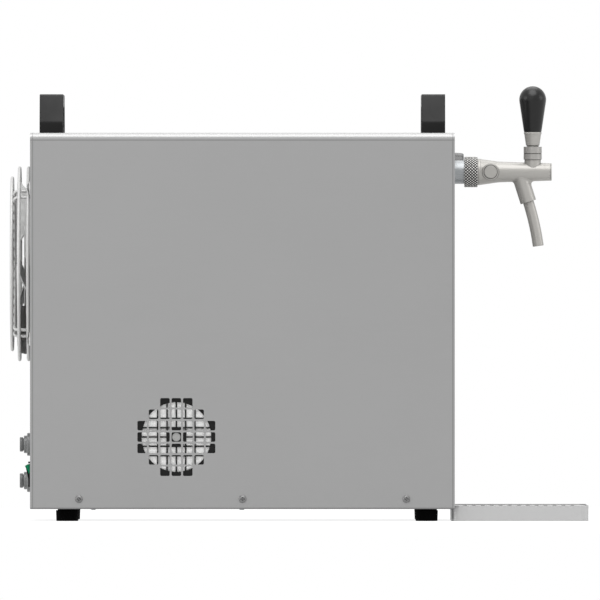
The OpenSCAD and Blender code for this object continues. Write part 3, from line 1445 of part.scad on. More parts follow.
// Discharge pipe to the condenser, liquid pipe to the block and suction pipe back
module refrigerant_lines() {
    r = pipe_d / 2;
    top = tube_z(tube_rows - 1);
    rise_x = comp_cx + comp_r + pipe_stub + run_out;
    x0 = block_cx - block_port;
    x1 = block_cx + block_port;
    y1 = block_cy + block_port;
    color("peru") {
        hose([[rise_x - run_out, comp_cy, comp_pipe_z], [rise_x, comp_cy, comp_pipe_z], [rise_x, comp_cy, top],
            [rise_x, -pipe_lane_y, top], [tube_xs[1], -pipe_lane_y, top], [tube_xs[1], outlet_y, top]], r, pipe_bend);
        hose([[tube_xs[0], outlet_y, top], [tube_xs[0], -pipe_lane_y, top], [tube_xs[0], -pipe_lane_y, liquid_z],
            [tube_xs[0] + liquid_run, -pipe_lane_y, liquid_z], [x1, y1, liquid_z], [x1, y1, block_end]],
            r, pipe_bend);
        hose([[x0, y1, block_end], [x0, y1, high_z], [x0, pipe_lane_y, high_z], [comp_cx, pipe_lane_y, high_z],
            [comp_cx, pipe_lane_y, comp_pipe_z], [comp_cx, comp_cy + comp_r + pipe_stub, comp_pipe_z]],
            r, pipe_bend);
    }
}

base_pan();
front_panel();
rear_panel();
wrap_cover();
cover_screws();
handle_front();
handle_rear();
handle_screws();
foot_front_left();
foot_front_right();
foot_rear_left();
foot_rear_right();
foot_studs();
base_screws();
tap_shank();
tap_seal();
coupling_nut();
tap_body();
tap_end_cap();
spout_tube();
lever_collar();
lever_pin();
tap_lever();
lever_ferrule();
lever_grip();
tap_plunger();
compensator_knob();
compensator_cone();
thermostat_knob();
thermostat_body();
drip_tray();
drip_grid();
wire_guard();
guard_screws();
fan_blade();
fan_motor();
fan_shroud();
condenser_fins();
condenser_tube();
water_fitting();
water_collet();
co2_fitting();
co2_collet();
panel_nuts();
switch_frame();
switch_rocker();
mains_inlet();
inlet_pins();
side_fan_frame();
side_fan_rotor();
side_fan_guard();
side_filter();
fan_stand();
compressor();
compressor_mounts();
cooling_block();
carbonator();
pump();
water_lines();
refrigerant_lines();
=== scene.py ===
import math

import bmesh
import bpy
import numpy as np
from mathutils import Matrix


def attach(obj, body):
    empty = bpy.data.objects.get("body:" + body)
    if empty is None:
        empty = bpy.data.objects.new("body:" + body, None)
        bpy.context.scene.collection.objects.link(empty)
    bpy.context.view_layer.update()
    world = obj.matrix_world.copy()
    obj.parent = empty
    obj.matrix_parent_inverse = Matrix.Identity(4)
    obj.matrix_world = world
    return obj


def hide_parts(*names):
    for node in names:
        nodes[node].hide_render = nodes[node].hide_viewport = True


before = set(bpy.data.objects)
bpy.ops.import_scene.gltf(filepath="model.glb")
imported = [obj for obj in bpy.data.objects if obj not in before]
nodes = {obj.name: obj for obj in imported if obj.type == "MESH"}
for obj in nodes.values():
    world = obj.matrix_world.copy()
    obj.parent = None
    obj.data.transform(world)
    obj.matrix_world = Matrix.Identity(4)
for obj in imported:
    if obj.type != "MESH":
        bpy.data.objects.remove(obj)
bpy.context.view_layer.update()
mm = 0.001  # every size below is in millimetres
print("frame loaded:", len(nodes), "nodes")


# grid numbering: quads between neighbouring rows and columns of points
def gridFaces(rows, cols, wrapRows=False, wrapCols=False):
    a, b = np.meshgrid(np.arange(rows if wrapRows else rows - 1),
                       np.arange(cols if wrapCols else cols - 1), indexing="ij")
    c, d = (a + 1) % rows, (b + 1) % cols
    return np.stack([a * cols + b, c * cols + b, c * cols + d, a * cols + d], axis=-1).reshape(-1, 4)


# a corner becomes a short parabola: (1-t)^2 a + 2t(1-t) corner + t^2 c, a and c lying one radius away
def eased(points, radius, steps=4, closed=False):
    p = np.asarray(points, float)
    toBack, toFront = np.roll(p, 1, 0) - p, np.roll(p, -1, 0) - p
    backLen = np.linalg.norm(toBack, axis=1)[:, None]
    frontLen = np.linalg.norm(toFront, axis=1)[:, None]
    reach = np.broadcast_to(np.asarray(radius, float), (len(p),))[:, None]
    reach = np.minimum(reach, 0.45 * np.minimum(backLen, frontLen))
    a, c = (p + toBack / backLen * reach)[:, None], (p + toFront / frontLen * reach)[:, None]
    t = np.linspace(0, 1, steps + 1)[None, :, None]
    arc = (1 - t) ** 2 * a + 2 * t * (1 - t) * p[:, None] + t ** 2 * c
    width = p.shape[1]
    return arc.reshape(-1, width) if closed else np.concatenate([p[:1], arc[1:-1].reshape(-1, width), p[-1:]])


# unit axis and two directions square to it
def crossAxes(axis):
    w = np.asarray(axis, float) / np.linalg.norm(axis)
    aid = np.array([0.0, 1.0, 0.0]) if abs(w[1]) < 0.9 else np.array([1.0, 0.0, 0.0])
    u = np.cross(aid, w)
    u /= np.linalg.norm(u)
    return w, u, np.cross(w, u)


# turned shape: origin + height * axis + radius * (cos t * u + sin t * v), profile rows are (height, radius)
def turned(profile, origin, axis, sides=72, closed=False, radiusOf=None):
    h, r = np.asarray(profile, float).T
    w, u, v = crossAxes(axis)
    t = np.linspace(0, 2 * np.pi, sides, endpoint=False)
    rr = np.broadcast_to(r[:, None], (len(r), sides))
    if radiusOf is not None:
        rr = radiusOf(h[:, None], rr, t[None, :])
    ring = np.cos(t)[:, None] * u + np.sin(t)[:, None] * v
    points = np.asarray(origin, float) + h[:, None, None] * w + rr[:, :, None] * ring[None]
    return points.reshape(-1, 3), [gridFaces(len(h), sides, closed, True)]


# wire or tube: path_i + radius * (cos t * side_i + sin t * up_i), side_i square to the path and the guide
def carried(path, radius, guide, sides=14, closed=False):
    p = np.asarray(path, float)
    if closed:
        run = np.roll(p, -1, 0) - np.roll(p, 1, 0)
    else:
        run = np.gradient(p, axis=0)
    run /= np.linalg.norm(run, axis=1)[:, None]
    side = np.cross(run, np.asarray(guide, float))
    side /= np.linalg.norm(side, axis=1)[:, None]
    up = np.cross(side, run)
    t = np.linspace(0, 2 * np.pi, sides, endpoint=False)
    r = np.broadcast_to(np.asarray(radius, float), (len(p),))
    points = p[:, None] + r[:, None, None] * (np.cos(t)[None, :, None] * side[:, None]
                                              + np.sin(t)[None, :, None] * up[:, None])
    return points.reshape(-1, 3), [gridFaces(len(p), sides, closed, True)]


# plate with round rims: the outline drawn in by edge * (1 - sin s) at depth edge * (1 - cos s) from each face
def plate(outline, low, high, edge, place, steps=4):
    p = np.asarray(outline, float)
    ahead = np.roll(p, -1, 0) - p
    ahead /= np.linalg.norm(ahead, axis=1)[:, None]
    normal = np.stack([ahead[:, 1], -ahead[:, 0]], axis=1)
    both = normal + np.roll(normal, 1, 0)
    mitre = both / np.maximum(0.3, 0.5 * (both ** 2).sum(1))[:, None]
    s = np.linspace(0, np.pi / 2, steps + 1)
    inset = edge * (1 - np.sin(s))
    depth = edge * (1 - np.cos(s))
    inset, level = np.concatenate([inset, inset[::-1]]), np.concatenate([low + depth, (high - depth)[::-1]])
    flat = p[None] - inset[:, None, None] * mitre[None]
    n, m = len(level), len(p)
    points = place(flat[:, :, 0], flat[:, :, 1], np.broadcast_to(level[:, None], (n, m)))
    caps = np.stack([np.arange(m), np.arange(m)[::-1] + (n - 1) * m])
    return points.reshape(-1, 3), [gridFaces(n, m, False, True), caps]


# joins surfaces into one mesh at the origin, merges poles and seams and turns the faces outwards
def addPiece(name, surfaces, finish, body, stands=(), crease=38, marks=None):
    points, faces, base = [], [], 0
    for surface, sets in surfaces:
        points.append(surface * mm)
        for quads in sets:
            faces.extend((quads + base).tolist())
        base += len(surface)
    mesh = bpy.data.meshes.new(name)
    mesh.from_pydata(np.concatenate(points), [], faces)
    for label, values in (marks or {}).items():
        mesh.attributes.new(label, "FLOAT", "POINT").data.foreach_set("value", values)
    work = bmesh.new()
    work.from_mesh(mesh)
    bmesh.ops.remove_doubles(work, verts=work.verts, dist=2e-6)
    bmesh.ops.dissolve_degenerate(work, edges=work.edges, dist=1e-7)
    bmesh.ops.recalc_face_normals(work, faces=work.faces)
    work.to_mesh(mesh)
    work.free()
    mesh.shade_smooth()
    mesh.set_sharp_from_angle(angle=math.radians(crease))
    mesh.materials.append(finish)
    piece = bpy.data.objects.new(name, mesh)
    bpy.context.scene.collection.objects.link(piece)
    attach(piece, body)
    if stands:
        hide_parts(*stands)
    return piece


# screen colour (0 to 255) to the linear colour a shader takes
def screen(r, g, b):
    c = np.array([r, g, b]) / 255
    c = np.where(c <= 0.04045, c / 12.92, ((c + 0.055) / 1.055) ** 2.4)
    return (*c.tolist(), 1.0)


def newGroup(name, inputs, outputs):
    group = bpy.data.node_groups.new(name, "ShaderNodeTree")
    for label, kind, value in inputs:
        socket = group.interface.new_socket(label, in_out="INPUT", socket_type="NodeSocket" + kind)
        socket.default_value = value
    for label in outputs:
        group.interface.new_socket(label, in_out="OUTPUT", socket_type="NodeSocketFloat")
    return group, group.nodes.new("NodeGroupInput"), group.nodes.new("NodeGroupOutput")


def addNode(tree, kind, wires=(), **values):
    node = tree.nodes.new("ShaderNode" + kind)
    for key, value in values.items():
        setattr(node, key, value)
    for socket, value in wires:
        if isinstance(value, bpy.types.NodeSocket):
            tree.links.new(value, node.inputs[socket])
        else:
            node.inputs[socket].default_value = value
    return node


def addMath(tree, operation, *values):
    return addNode(tree, "Math", enumerate(values), operation=operation).outputs[0]


# streaks: noise on object coordinates that are stretched along the brushing
brushed, gIn, gOut = newGroup("brushedStreaks", [("Stretch", "Vector", (20, 900, 900))], ["Tone", "Height"])
place = addNode(brushed, "TexCoord").outputs["Object"]
stretched = addNode(brushed, "VectorMath", [(0, place), (1, gIn.outputs[0])], operation="MULTIPLY").outputs[0]
fine = addNode(brushed, "TexNoise", [("Vector", stretched), ("Scale", 1.0), ("Detail", 3.0), ("Roughness", 0.65)])
broad = addNode(brushed, "TexNoise", [("Vector", place), ("Scale", 9.0), ("Detail", 2.0)])
tone = addMath(brushed, "ADD", addMath(brushed, "MULTIPLY", fine.outputs[0], 0.7),
               addMath(brushed, "MULTIPLY", broad.outputs[0], 0.3))
brushed.links.new(tone, gOut.inputs[0])
brushed.links.new(fine.outputs[0], gOut.inputs[1])

# moulded skin: small soft cells with a cloud of wear over them
moulded, gIn, gOut = newGroup("mouldedSkin", [("Stretch", "Vector", (1400, 1400, 1400))], ["Tone", "Height"])
place = addNode(moulded, "TexCoord").outputs["Object"]
scaled = addNode(moulded, "VectorMath", [(0, place), (1, gIn.outputs[0])], operation="MULTIPLY").outputs[0]
cells = addNode(moulded, "TexVoronoi", [("Vector", scaled), ("Scale", 1.0)], feature="SMOOTH_F1")
cloud = addNode(moulded, "TexNoise", [("Vector", place), ("Scale", 55.0), ("Detail", 4.0), ("Roughness", 0.6)])
moulded.links.new(cloud.outputs[0], gOut.inputs[0])
moulded.links.new(cells.outputs["Distance"], gOut.inputs[1])

# plated or polished metal: smears in the sheen and a trace of turning marks
plated, gIn, gOut = newGroup("platedSmears", [("Stretch", "Vector", (60, 60, 60))], ["Tone", "Height"])
place = addNode(plated, "TexCoord").outputs["Object"]
scaled = addNode(plated, "VectorMath", [(0, place), (1, gIn.outputs[0])], operation="MULTIPLY").outputs[0]
smear = addNode(plated, "TexNoise", [("Vector", scaled), ("Scale", 1.0), ("Detail", 5.0), ("Roughness", 0.55),
                                     ("Distortion", 0.8)])
pits = addNode(plated, "TexNoise", [("Vector", place), ("Scale", 1600.0), ("Detail", 1.0)])
plated.links.new(smear.outputs[0], gOut.inputs[0])
plated.links.new(pits.outputs[0], gOut.inputs[1])

# zinc flowers: flat cells of differing tone
zinc, gIn, gOut = newGroup("zincFlowers", [("Stretch", "Vector", (160, 160, 160))], ["Tone", "Height"])
place = addNode(zinc, "TexCoord").outputs["Object"]
scaled = addNode(zinc, "VectorMath", [(0, place), (1, gIn.outputs[0])], operation="MULTIPLY").outputs[0]
flower = addNode(zinc, "TexVoronoi", [("Vector", scaled), ("Scale", 1.0)], feature="F1")
split = addNode(zinc, "SeparateColor", [(0, flower.outputs["Color"])])
zinc.links.new(split.outputs[0], gOut.inputs[0])
zinc.links.new(flower.outputs["Distance"], gOut.inputs[1])

# rims: where a rounded normal leaves the true one; Mask is broken up by noise and marks wear, the second output is
# the whole line and paints shade along edges
wearAndEdgeShade, gIn, gOut = newGroup("rubbedRimsAndEdgeShade", [("Radius", "Float", 0.0008)], ["Mask", "EdgeShade"])
soft = addNode(wearAndEdgeShade, "Bevel", [("Radius", gIn.outputs[0])], samples=6)
true = addNode(wearAndEdgeShade, "NewGeometry").outputs["Normal"]
lean = addNode(wearAndEdgeShade, "VectorMath", [(0, soft.outputs[0]), (1, true)], operation="DOT_PRODUCT").outputs["Value"]
patch = addNode(wearAndEdgeShade, "TexNoise", [("Vector", addNode(wearAndEdgeShade, "TexCoord").outputs["Object"]), ("Scale", 140.0),
                                   ("Detail", 3.0)])
gain = addMath(wearAndEdgeShade, "MULTIPLY", addMath(wearAndEdgeShade, "SUBTRACT", 1.0, lean), 6.0)
mask = addNode(wearAndEdgeShade, "Math", [(0, gain), (1, patch.outputs[0])], operation="MULTIPLY", use_clamp=True)
wearAndEdgeShade.links.new(mask.outputs[0], gOut.inputs[0])
wearAndEdgeShade.links.new(addNode(wearAndEdgeShade, "Clamp", [(0, gain)]).outputs[0], gOut.inputs[1])

# painted crevice shade: how much of the near surroundings closes a point in, used to darken creases
creviceShadeGroup, gIn, gOut = newGroup("paintedCreviceShade", [("Reach", "Float", 0.002)], ["Mask"])
openness = addNode(creviceShadeGroup, "AmbientOcclusion", [("Distance", gIn.outputs[0])], samples=8).outputs["AO"]
closed = addNode(creviceShadeGroup, "MapRange", [("Value", openness), ("From Min", 0.9), ("From Max", 0.45)]).outputs[0]
creviceShadeGroup.links.new(closed, gOut.inputs[0])

patterns = {"brushed": brushed, "moulded": moulded, "plated": plated, "zinc": zinc}


# mask of a shared group at its own reach
def maskOf(tree, group, reach, output):
    node = addNode(tree, "Group", node_tree=group)
    node.inputs[0].default_value = reach
    return node.outputs[output]


# lays a colour over another by a mask and a strength
def laidOver(tree, under, mask, strength, colour):
    amount = addMath(tree, "MULTIPLY", mask, strength)
    mix = addNode(tree, "Mix", [("Factor", amount), (6, under), (7, (*colour.tolist(), 1))], data_type="RGBA")
    return mix.outputs[2]


# one finish: pattern tone drives colour and roughness, its height the bump; worn rims lighten, painted shade darkens
# crevices and edges
def makeFinish(name, pattern, stretch, colour, shift, rough, spread, metal=0.0, bump=0.0, depth=0.0002,
               wear=0.0, rim=0.0006, creviceShade=0.0, reach=0.0016, shadeLine=0.0, **sockets):
    material = bpy.data.materials.new(name)
    material.use_nodes = True
    tree = material.node_tree
    shader = tree.nodes["Principled BSDF"]
    group = addNode(tree, "Group", node_tree=patterns[pattern])
    group.inputs["Stretch"].default_value = stretch
    base = np.array(screen(*colour))[:3]
    swing = addNode(tree, "Mix", [("Factor", group.outputs["Tone"])], data_type="RGBA")
    swing.inputs[6].default_value = (*(base * (1 - shift)).tolist(), 1)
    swing.inputs[7].default_value = (*np.minimum(base * (1 + shift), 1).tolist(), 1)
    top = swing.outputs[2]
    if wear:
        top = laidOver(tree, top, maskOf(tree, wearAndEdgeShade, rim, "Mask"), wear, np.minimum(base * 2.2 + 0.05, 0.9))
    # painted shade: crevices darken towards near black
    if creviceShade:
        top = laidOver(tree, top, maskOf(tree, creviceShadeGroup, reach, "Mask"), creviceShade, base * 0.08)
    # painted shade: a dark line along every edge
    if shadeLine:
        top = laidOver(tree, top, maskOf(tree, wearAndEdgeShade, rim, "EdgeShade"), shadeLine, base * 0.15)
    tree.links.new(top, shader.inputs["Base Color"])
    gloss = addNode(tree, "MapRange", [("Value", group.outputs["Tone"]), ("From Min", 0.3), ("From Max", 0.7),
                                       ("To Min", rough - spread), ("To Max", rough + spread)])
    tree.links.new(gloss.outputs[0], shader.inputs["Roughness"])
    shader.inputs["Metallic"].default_value = metal
    if bump:
        relief = addNode(tree, "Bump", [("Strength", bump), ("Distance", depth), ("Height", group.outputs["Height"])])
        tree.links.new(relief.outputs[0], shader.inputs["Normal"])
    for socket, value in sockets.items():
        shader.inputs[socket.replace("_", " ")].default_value = value
    return material


# finishes, each named for the record's material slot that it dresses
dimRim = (0.5, 0.5, 0.5, 1.0)  # weak reflection at grazing angles, so rims stay dark before a white ground
# crevice and line amounts paint shade into creases and along edges
finishes = {
    "sheet_steel": makeFinish("sheet_steel", "brushed", (800, 16, 800), (157, 157, 157), 0.04, 0.42, 0.05,
                              metal=0.6, bump=0.05, depth=0.0001, wear=0.08),
    "zinc_steel": makeFinish("zinc_steel", "zinc", (130, 130, 130), (172, 174, 176), 0.07, 0.38, 0.08, metal=0.8),
    "tap_metal": makeFinish("tap_metal", "plated", (45, 70, 70), (163, 161, 157), 0.03, 0.34, 0.04, metal=0.35,
                            bump=0.02, depth=0.00005, creviceShade=0.75, shadeLine=0.7, Specular_Tint=dimRim),
    "black_plastic": makeFinish("black_plastic", "moulded", (1500, 1500, 1500), (17, 17, 17), 0.06, 0.40, 0.05,
                                bump=0.12, depth=0.0001, wear=0.08, Specular_IOR_Level=0.17),
    "grip_plastic": makeFinish("grip_plastic", "moulded", (700, 700, 700), (12, 12, 12), 0.08, 0.32, 0.05,
                               bump=0.03, depth=0.0001, Specular_IOR_Level=0.35),
    "green_plastic": makeFinish("green_plastic", "moulded", (900, 900, 900), (8, 120, 80), 0.06, 0.34, 0.05,
                                bump=0.03, depth=0.0001, Specular_IOR_Level=0.12),
    "white_plastic": makeFinish("white_plastic", "moulded", (900, 900, 900), (222, 224, 224), 0.03, 0.36, 0.06,
                                bump=0.04, depth=0.0001),
    "grey_plastic": makeFinish("grey_plastic", "moulded", (1300, 1300, 1300), (116, 117, 117), 0.05, 0.24, 0.05,
                               bump=0.05, depth=0.0001, creviceShade=0.6, shadeLine=0.5),
    "rubber": makeFinish("rubber", "moulded", (900, 900, 900), (1, 1, 1), 0.20, 0.80, 0.06, bump=0.3, depth=0.0002,
                         Specular_IOR_Level=0.05),
    "wire": makeFinish("wire", "plated", (220, 220, 220), (200, 200, 199), 0.04, 0.42, 0.06, metal=0.25,
                       bump=0.03, depth=0.00005, creviceShade=0.5, Specular_Tint=dimRim),
    "fan_metal": makeFinish("fan_metal", "plated", (40, 90, 90), (206, 206, 205), 0.05, 0.48, 0.08, metal=0.15,
                            bump=0.05, depth=0.0001, shadeLine=0.5),
    "fins": makeFinish("fins", "brushed", (900, 900, 25), (200, 201, 202), 0.08, 0.42, 0.06, metal=0.4, bump=0.1),
    "copper": makeFinish("copper", "plated", (70, 70, 70), (178, 108, 74), 0.16, 0.32, 0.10, metal=0.95,
                         bump=0.04, depth=0.0001),
    "black_paint": makeFinish("black_paint", "moulded", (320, 320, 320), (32, 32, 33), 0.12, 0.36, 0.06,
                              bump=0.12, depth=0.0003, wear=0.15),
    "insulation": makeFinish("insulation", "moulded", (420, 420, 420), (60, 60, 62), 0.18, 0.88, 0.05,
                             bump=0.5, depth=0.0006),
    "filter_mat": makeFinish("filter_mat", "brushed", (520, 900, 520), (253, 253, 252), 0.02, 0.92, 0.04,
                             bump=0.15, depth=0.0003),
    "tray_steel": makeFinish("tray_steel", "brushed", (18, 900, 900), (178, 178, 178), 0.03, 0.36, 0.05, metal=0.55,
                             bump=0.04, depth=0.0001, shadeLine=0.15),
    "brass": makeFinish("brass", "plated", (60, 60, 60), (186, 152, 92), 0.12, 0.3, 0.08, metal=0.9,
                        bump=0.03, depth=0.0001),
}
# finishes of single pieces that differ from their slot's
coverSteel = makeFinish("cover_steel", "brushed", (16, 800, 800), (147, 147, 147), 0.04, 0.38, 0.05,
                        metal=0.7, bump=0.05, depth=0.0001, wear=0.08)
knurlMetal = makeFinish("knurled_metal", "plated", (150, 150, 150), (214, 213, 210), 0.03, 0.34, 0.05, metal=0.3,
                        Specular_IOR_Level=0.15, Specular_Tint=(0.3, 0.3, 0.3, 1.0))
# the shank and collar also take painted shade in creases and along edges
shankMetal = makeFinish("shank_metal", "plated", (30, 160, 160), (160, 163, 165), 0.04, 0.30, 0.05, metal=0.45,
                        bump=0.03, depth=0.00005, shadeLine=0.7, Specular_Tint=dimRim)
collarMetal = makeFinish("collar_metal", "plated", (45, 70, 70), (157, 155, 152), 0.03, 0.34, 0.04, metal=0.35,
                         creviceShade=0.75, shadeLine=0.7, Specular_Tint=dimRim)
screwMetal = makeFinish("screw_metal", "plated", (90, 90, 90), (118, 118, 118), 0.06, 0.36, 0.06, metal=0.6)
capMetal = makeFinish("cap_metal", "plated", (90, 90, 90), (150, 150, 149), 0.04, 0.42, 0.05, metal=0.3)
knobPlastic = makeFinish("knob_plastic", "moulded", (1300, 1300, 1300), (82, 82, 82), 0.05, 0.18, 0.03,
                         bump=0.04, depth=0.0001)
colletPlastic = makeFinish("collet_plastic", "moulded", (1300, 1300, 1300), (100, 101, 101), 0.06, 0.36, 0.06,
                           bump=0.08, depth=0.0001)


# paints shade into a finish where a mask is high
def paintShade(material, marked, colour):
    tree = material.node_tree
    shader = tree.nodes["Principled BSDF"]
    under = shader.inputs["Base Color"].links[0].from_socket
    mix = addNode(tree, "Mix", [("Factor", marked(tree)), (6, under), (7, screen(*colour))], data_type="RGBA")
    tree.links.new(mix.outputs[2], shader.inputs["Base Color"])


# painted shade in the knurl's grooves, steep enough to leave the diamond points bright
def knurlGrooveShade(tree):
    mark = addNode(tree, "Attribute", attribute_name="grooveShade").outputs["Fac"]
    return addNode(tree, "MapRange", [("Value", mark), ("From Min", 0.5), ("From Max", 0.7)]).outputs[0]


# painted shade lines at the cover's folds and lower edge and at the collar's step, each on a plane: its axis number,
# place, half width and shade
coverShadeLines = {"topFold": (2, 380.2, 0.9, 0.45), "frontFold": (0, 153.4, 0.9, 0.45),
              "rearFold": (0, -265.9, 0.9, 0.45), "lowerEdge": (2, 11.7, 2.4, 0.9)}
collarShadeLines = {"step": (2, 367.3, 0.6, 0.8)}


# darkest painted shade line at each point, shade * (1 - distance / half width)
def shadeLineMask(tree, lines):
    place = addNode(tree, "SeparateXYZ", [(0, addNode(tree, "TexCoord").outputs["Object"])]).outputs
    mask = 0.0
    for axis, at, half, shade in lines.values():
        near = addMath(tree, "ABSOLUTE", addMath(tree, "SUBTRACT", place[axis], at * mm))
        shadeLine = addNode(tree, "MapRange", [("Value", near), ("From Max", half * mm), ("To Min", shade),
                                          ("To Max", 0.0)])
        mask = addMath(tree, "MAXIMUM", shadeLine.outputs[0], mask)
    return mask


# painted shade in the knurl's grooves, along the cover's folds and lower edge, and at the collar's step
paintShade(knurlMetal, knurlGrooveShade, (10, 10, 10))
paintShade(coverSteel, lambda tree: shadeLineMask(tree, coverShadeLines), (60, 60, 60))
paintShade(collarMetal, lambda tree: shadeLineMask(tree, collarShadeLines), (60, 60, 58))
ownFinish = {"tap_shank": shankMetal, "wrap_cover": coverSteel, "lever_collar": collarMetal}
for name, node in nodes.items():
    slot = node.material_slots[0]
    slot.material = ownFinish.get(name) or finishes[slot.material.name]
print("finishes:", len(bpy.data.materials))

# studio: camera square to the side, white surroundings, soft lamps, pale floor with the object's shadow
studio = {
    "lens": 1620.0, "distance": 27.0, "aimX": 1.0, "aimZ": 220.7, "nearPlane": -65.0,
    "filmWidth": 36.0, "clip": (1.0, 60.0), "lampAim": (0.0, 0.0, 0.2),
    "ambient": 0.55, "floorHalf": 1.5, "floorColour": 0.86, "floorGrain": 0.02, "floorGlow": 0.72, "floorWhite": 1.15,
    "lamps": {  # place in metres, size, watts
        "keyLamp": ((-0.6, -3.0, 1.3), 2.2, 6.0),
        "topLamp": ((0.1, -1.2, 2.9), 2.8, 74.0),
        "backLamp": ((0.1, 1.3, 3.0), 2.6, 32.0),
        "rearLamp": ((-2.6, -1.2, 0.8), 1.6, 18.0),
        "tapLamp": ((2.6, -0.5, 1.0), 1.2, 9.0),
    },
}
view = bpy.data.cameras.new("sideView")
view.lens, view.sensor_width = studio["lens"], studio["filmWidth"]
view.clip_start, view.clip_end = studio["clip"]
camera = bpy.data.objects.new("sideView", view)
camera.location = (studio["aimX"] * mm, studio["nearPlane"] * mm - studio["distance"], studio["aimZ"] * mm)
camera.rotation_euler = (math.pi / 2, 0, 0)
bpy.context.scene.collection.objects.link(camera)
bpy.context.scene.camera = camera
bpy.context.scene.view_settings.view_transform = "Standard"

for name, (spot, size, watts) in studio["lamps"].items():
    lamp = bpy.data.lights.new(name, "AREA")
    lamp.shape, lamp.size, lamp.energy = "DISK", size, watts
    holder = bpy.data.objects.new(name, lamp)
    holder.location = spot
    aim = np.array(studio["lampAim"]) - np.array(spot)
    tilt, swing = math.atan2(math.hypot(aim[0], aim[1]), -aim[2]), math.atan2(aim[0], -aim[1]) + math.pi
    holder.rotation_euler = (tilt, 0, swing)
    bpy.context.scene.collection.objects.link(holder)


# 1 for rays that look at a surface, 0 for those that only carry light on
def seenRay(tree):
    path = addNode(tree, "LightPath").outputs
    return addMath(tree, "MAXIMUM", addMath(tree, "MAXIMUM", path["Is Camera Ray"], path["Is Glossy Ray"]),
                   path["Is Transmission Ray"])


world = bpy.data.worlds.new("studioWhite")
bpy.context.scene.world = world
world.use_nodes = True
sky = world.node_tree
glow = addNode(sky, "MapRange", [("Value", seenRay(sky)), ("To Min", studio["ambient"]), ("To Max", 1.0)])
sky.nodes["Background"].inputs["Color"].default_value = (1, 1, 1, 1)
sky.links.new(glow.outputs[0], sky.nodes["Background"].inputs["Strength"])

half = studio["floorHalf"]
floorMesh = bpy.data.meshes.new("studioFloor")
floorMesh.from_pydata([(-half, -half, 0), (half, -half, 0), (half, half, 0), (-half, half, 0)], [], [(0, 1, 2, 3)])
floor = bpy.data.objects.new("studioFloor", floorMesh)
bpy.context.scene.collection.objects.link(floor)
paper = bpy.data.materials.new("floorPaper")
paper.use_nodes = True
tree = paper.node_tree
shade = tree.nodes["Principled BSDF"]
grain = addNode(tree, "TexNoise", [("Vector", addNode(tree, "TexCoord").outputs["Object"]), ("Scale", 400.0)])
tint = addNode(tree, "MapRange", [("Value", grain.outputs[0]),
                                  ("To Min", studio["floorColour"] - studio["floorGrain"]),
                                  ("To Max", studio["floorColour"] + studio["floorGrain"])])
tree.links.new(tint.outputs[0], shade.inputs["Base Color"])
shade.inputs["Roughness"].default_value = 0.9
white = addNode(tree, "Emission", [("Color", (1, 1, 1, 1)), ("Strength", studio["floorWhite"])])
blendIn = addNode(tree, "MixShader", [(0, addMath(tree, "MULTIPLY", seenRay(tree), studio["floorGlow"])),
                                      (1, shade.outputs[0]), (2, white.outputs[0])])
tree.links.new(blendIn.outputs[0], tree.nodes["Material Output"].inputs["Surface"])
floorMesh.materials.append(paper)
print("studio ready")

# tap: turned pieces on one axis along x
tap = {
    "axisZ": 349.0, "nutX": 165.65, "nutL": 13.3, "nutR": 15.4, "nutBore": 11.05, "nutLip": 1.6, "nutLipL": 2.8,
    "nutSides": 396, "knurlPitch": 3.12, "knurlStarts": 32, "knurlDepth": 0.45, "knurlEnd": 0.3, "knurlRows": 66,
    "flangeR": 13.25, "flangeL": 2.6, "coneR": 13.0, "coneL": 18.3, "barrelR": 10.4, "barrelEndR": 8.7,
    "barrelL": 53.4, "capL": 1.3, "neckR": 8.25, "neckTop": 361.5, "leverX": 234.25,
    "ringR": 8.2, "ringY": -13.5, "ringSink": 2.2, "discR": 6.5, "discGap": 0.35, "discY": -14.3, "discX": 191.95,
    "spoutX": 220.35, "lean": math.radians(17.6), "bossR": 8.1, "bossL": 31.6, "bossSink": 4.0,
    "bossFillet": 3.0, "smallFillet": 0.4, "spoutR": 5.5, "spoutWall": 1.0, "spoutGap": 0.1, "spoutSides": 48,
    "socketL": 12.0, "arcR": 262.0, "arcTurn": math.radians(9.8),
    "ferruleZ": 375.4, "ferruleL": 13.6, "ferruleR": (6.8, 8.9), "gripZ": 389.0, "gripL": 46.0, "gripR": 13.5,
}
xAxis, yAxis, zAxis = np.eye(3)
tapAxis = np.array([0, 0, tap["axisZ"]])
flangeX = tap["nutX"] + tap["nutL"]
coneX = flangeX + tap["flangeL"]
barrelX = coneX + tap["coneL"]
capX = barrelX + tap["barrelL"] - tap["capL"]


# diamond knurl: max of two crossing triangle waves, 0 on the points and 1 in the grooves
def knurlCut(h, r, t):
    around, along = tap["knurlStarts"] * t, 2 * np.pi * h / tap["knurlPitch"]

    def wave(phase):
        return np.abs(((phase / np.pi) % 2) - 1)

    cut = np.maximum(wave(around + along), wave(around - along))
    return cut * (r > tap["nutR"] - 0.01)


def knurl(h, r, t):
    return r - tap["knurlDepth"] * knurlCut(h, r, t)


rim, bore, far = tap["nutR"], tap["nutBore"], tap["nutL"]
lip, lipFrom = bore - tap["nutLip"], far - tap["nutLipL"]
end, rows, nutSides = tap["knurlEnd"], tap["knurlRows"], tap["nutSides"]
outer = np.linspace(end, far - end, rows)
nutProfile = np.concatenate([
    [[0.25, bore], [0.0, bore + 0.3], [0.0, rim - 2 * end]],
    np.stack([outer, np.full(rows, rim)], axis=1),
    [[far, rim - 2 * end], [far, lip], [lipFrom, lip], [lipFrom, bore]]])
nutTurn = np.linspace(0, 2 * np.pi, nutSides, endpoint=False)[None, :]
# the cut is kept on the nut as a mark for painted shade in its grooves
grooveShade = knurlCut(nutProfile[:, :1], np.repeat(nutProfile[:, 1:], nutSides, axis=1), nutTurn).ravel()
addPiece("coupling_nut_knurled", [turned(nutProfile, tapAxis + tap["nutX"] * xAxis, xAxis, nutSides, True, knurl)],
         knurlMetal, "casing", ["coupling_nut"], crease=55, marks={"grooveShade": grooveShade})


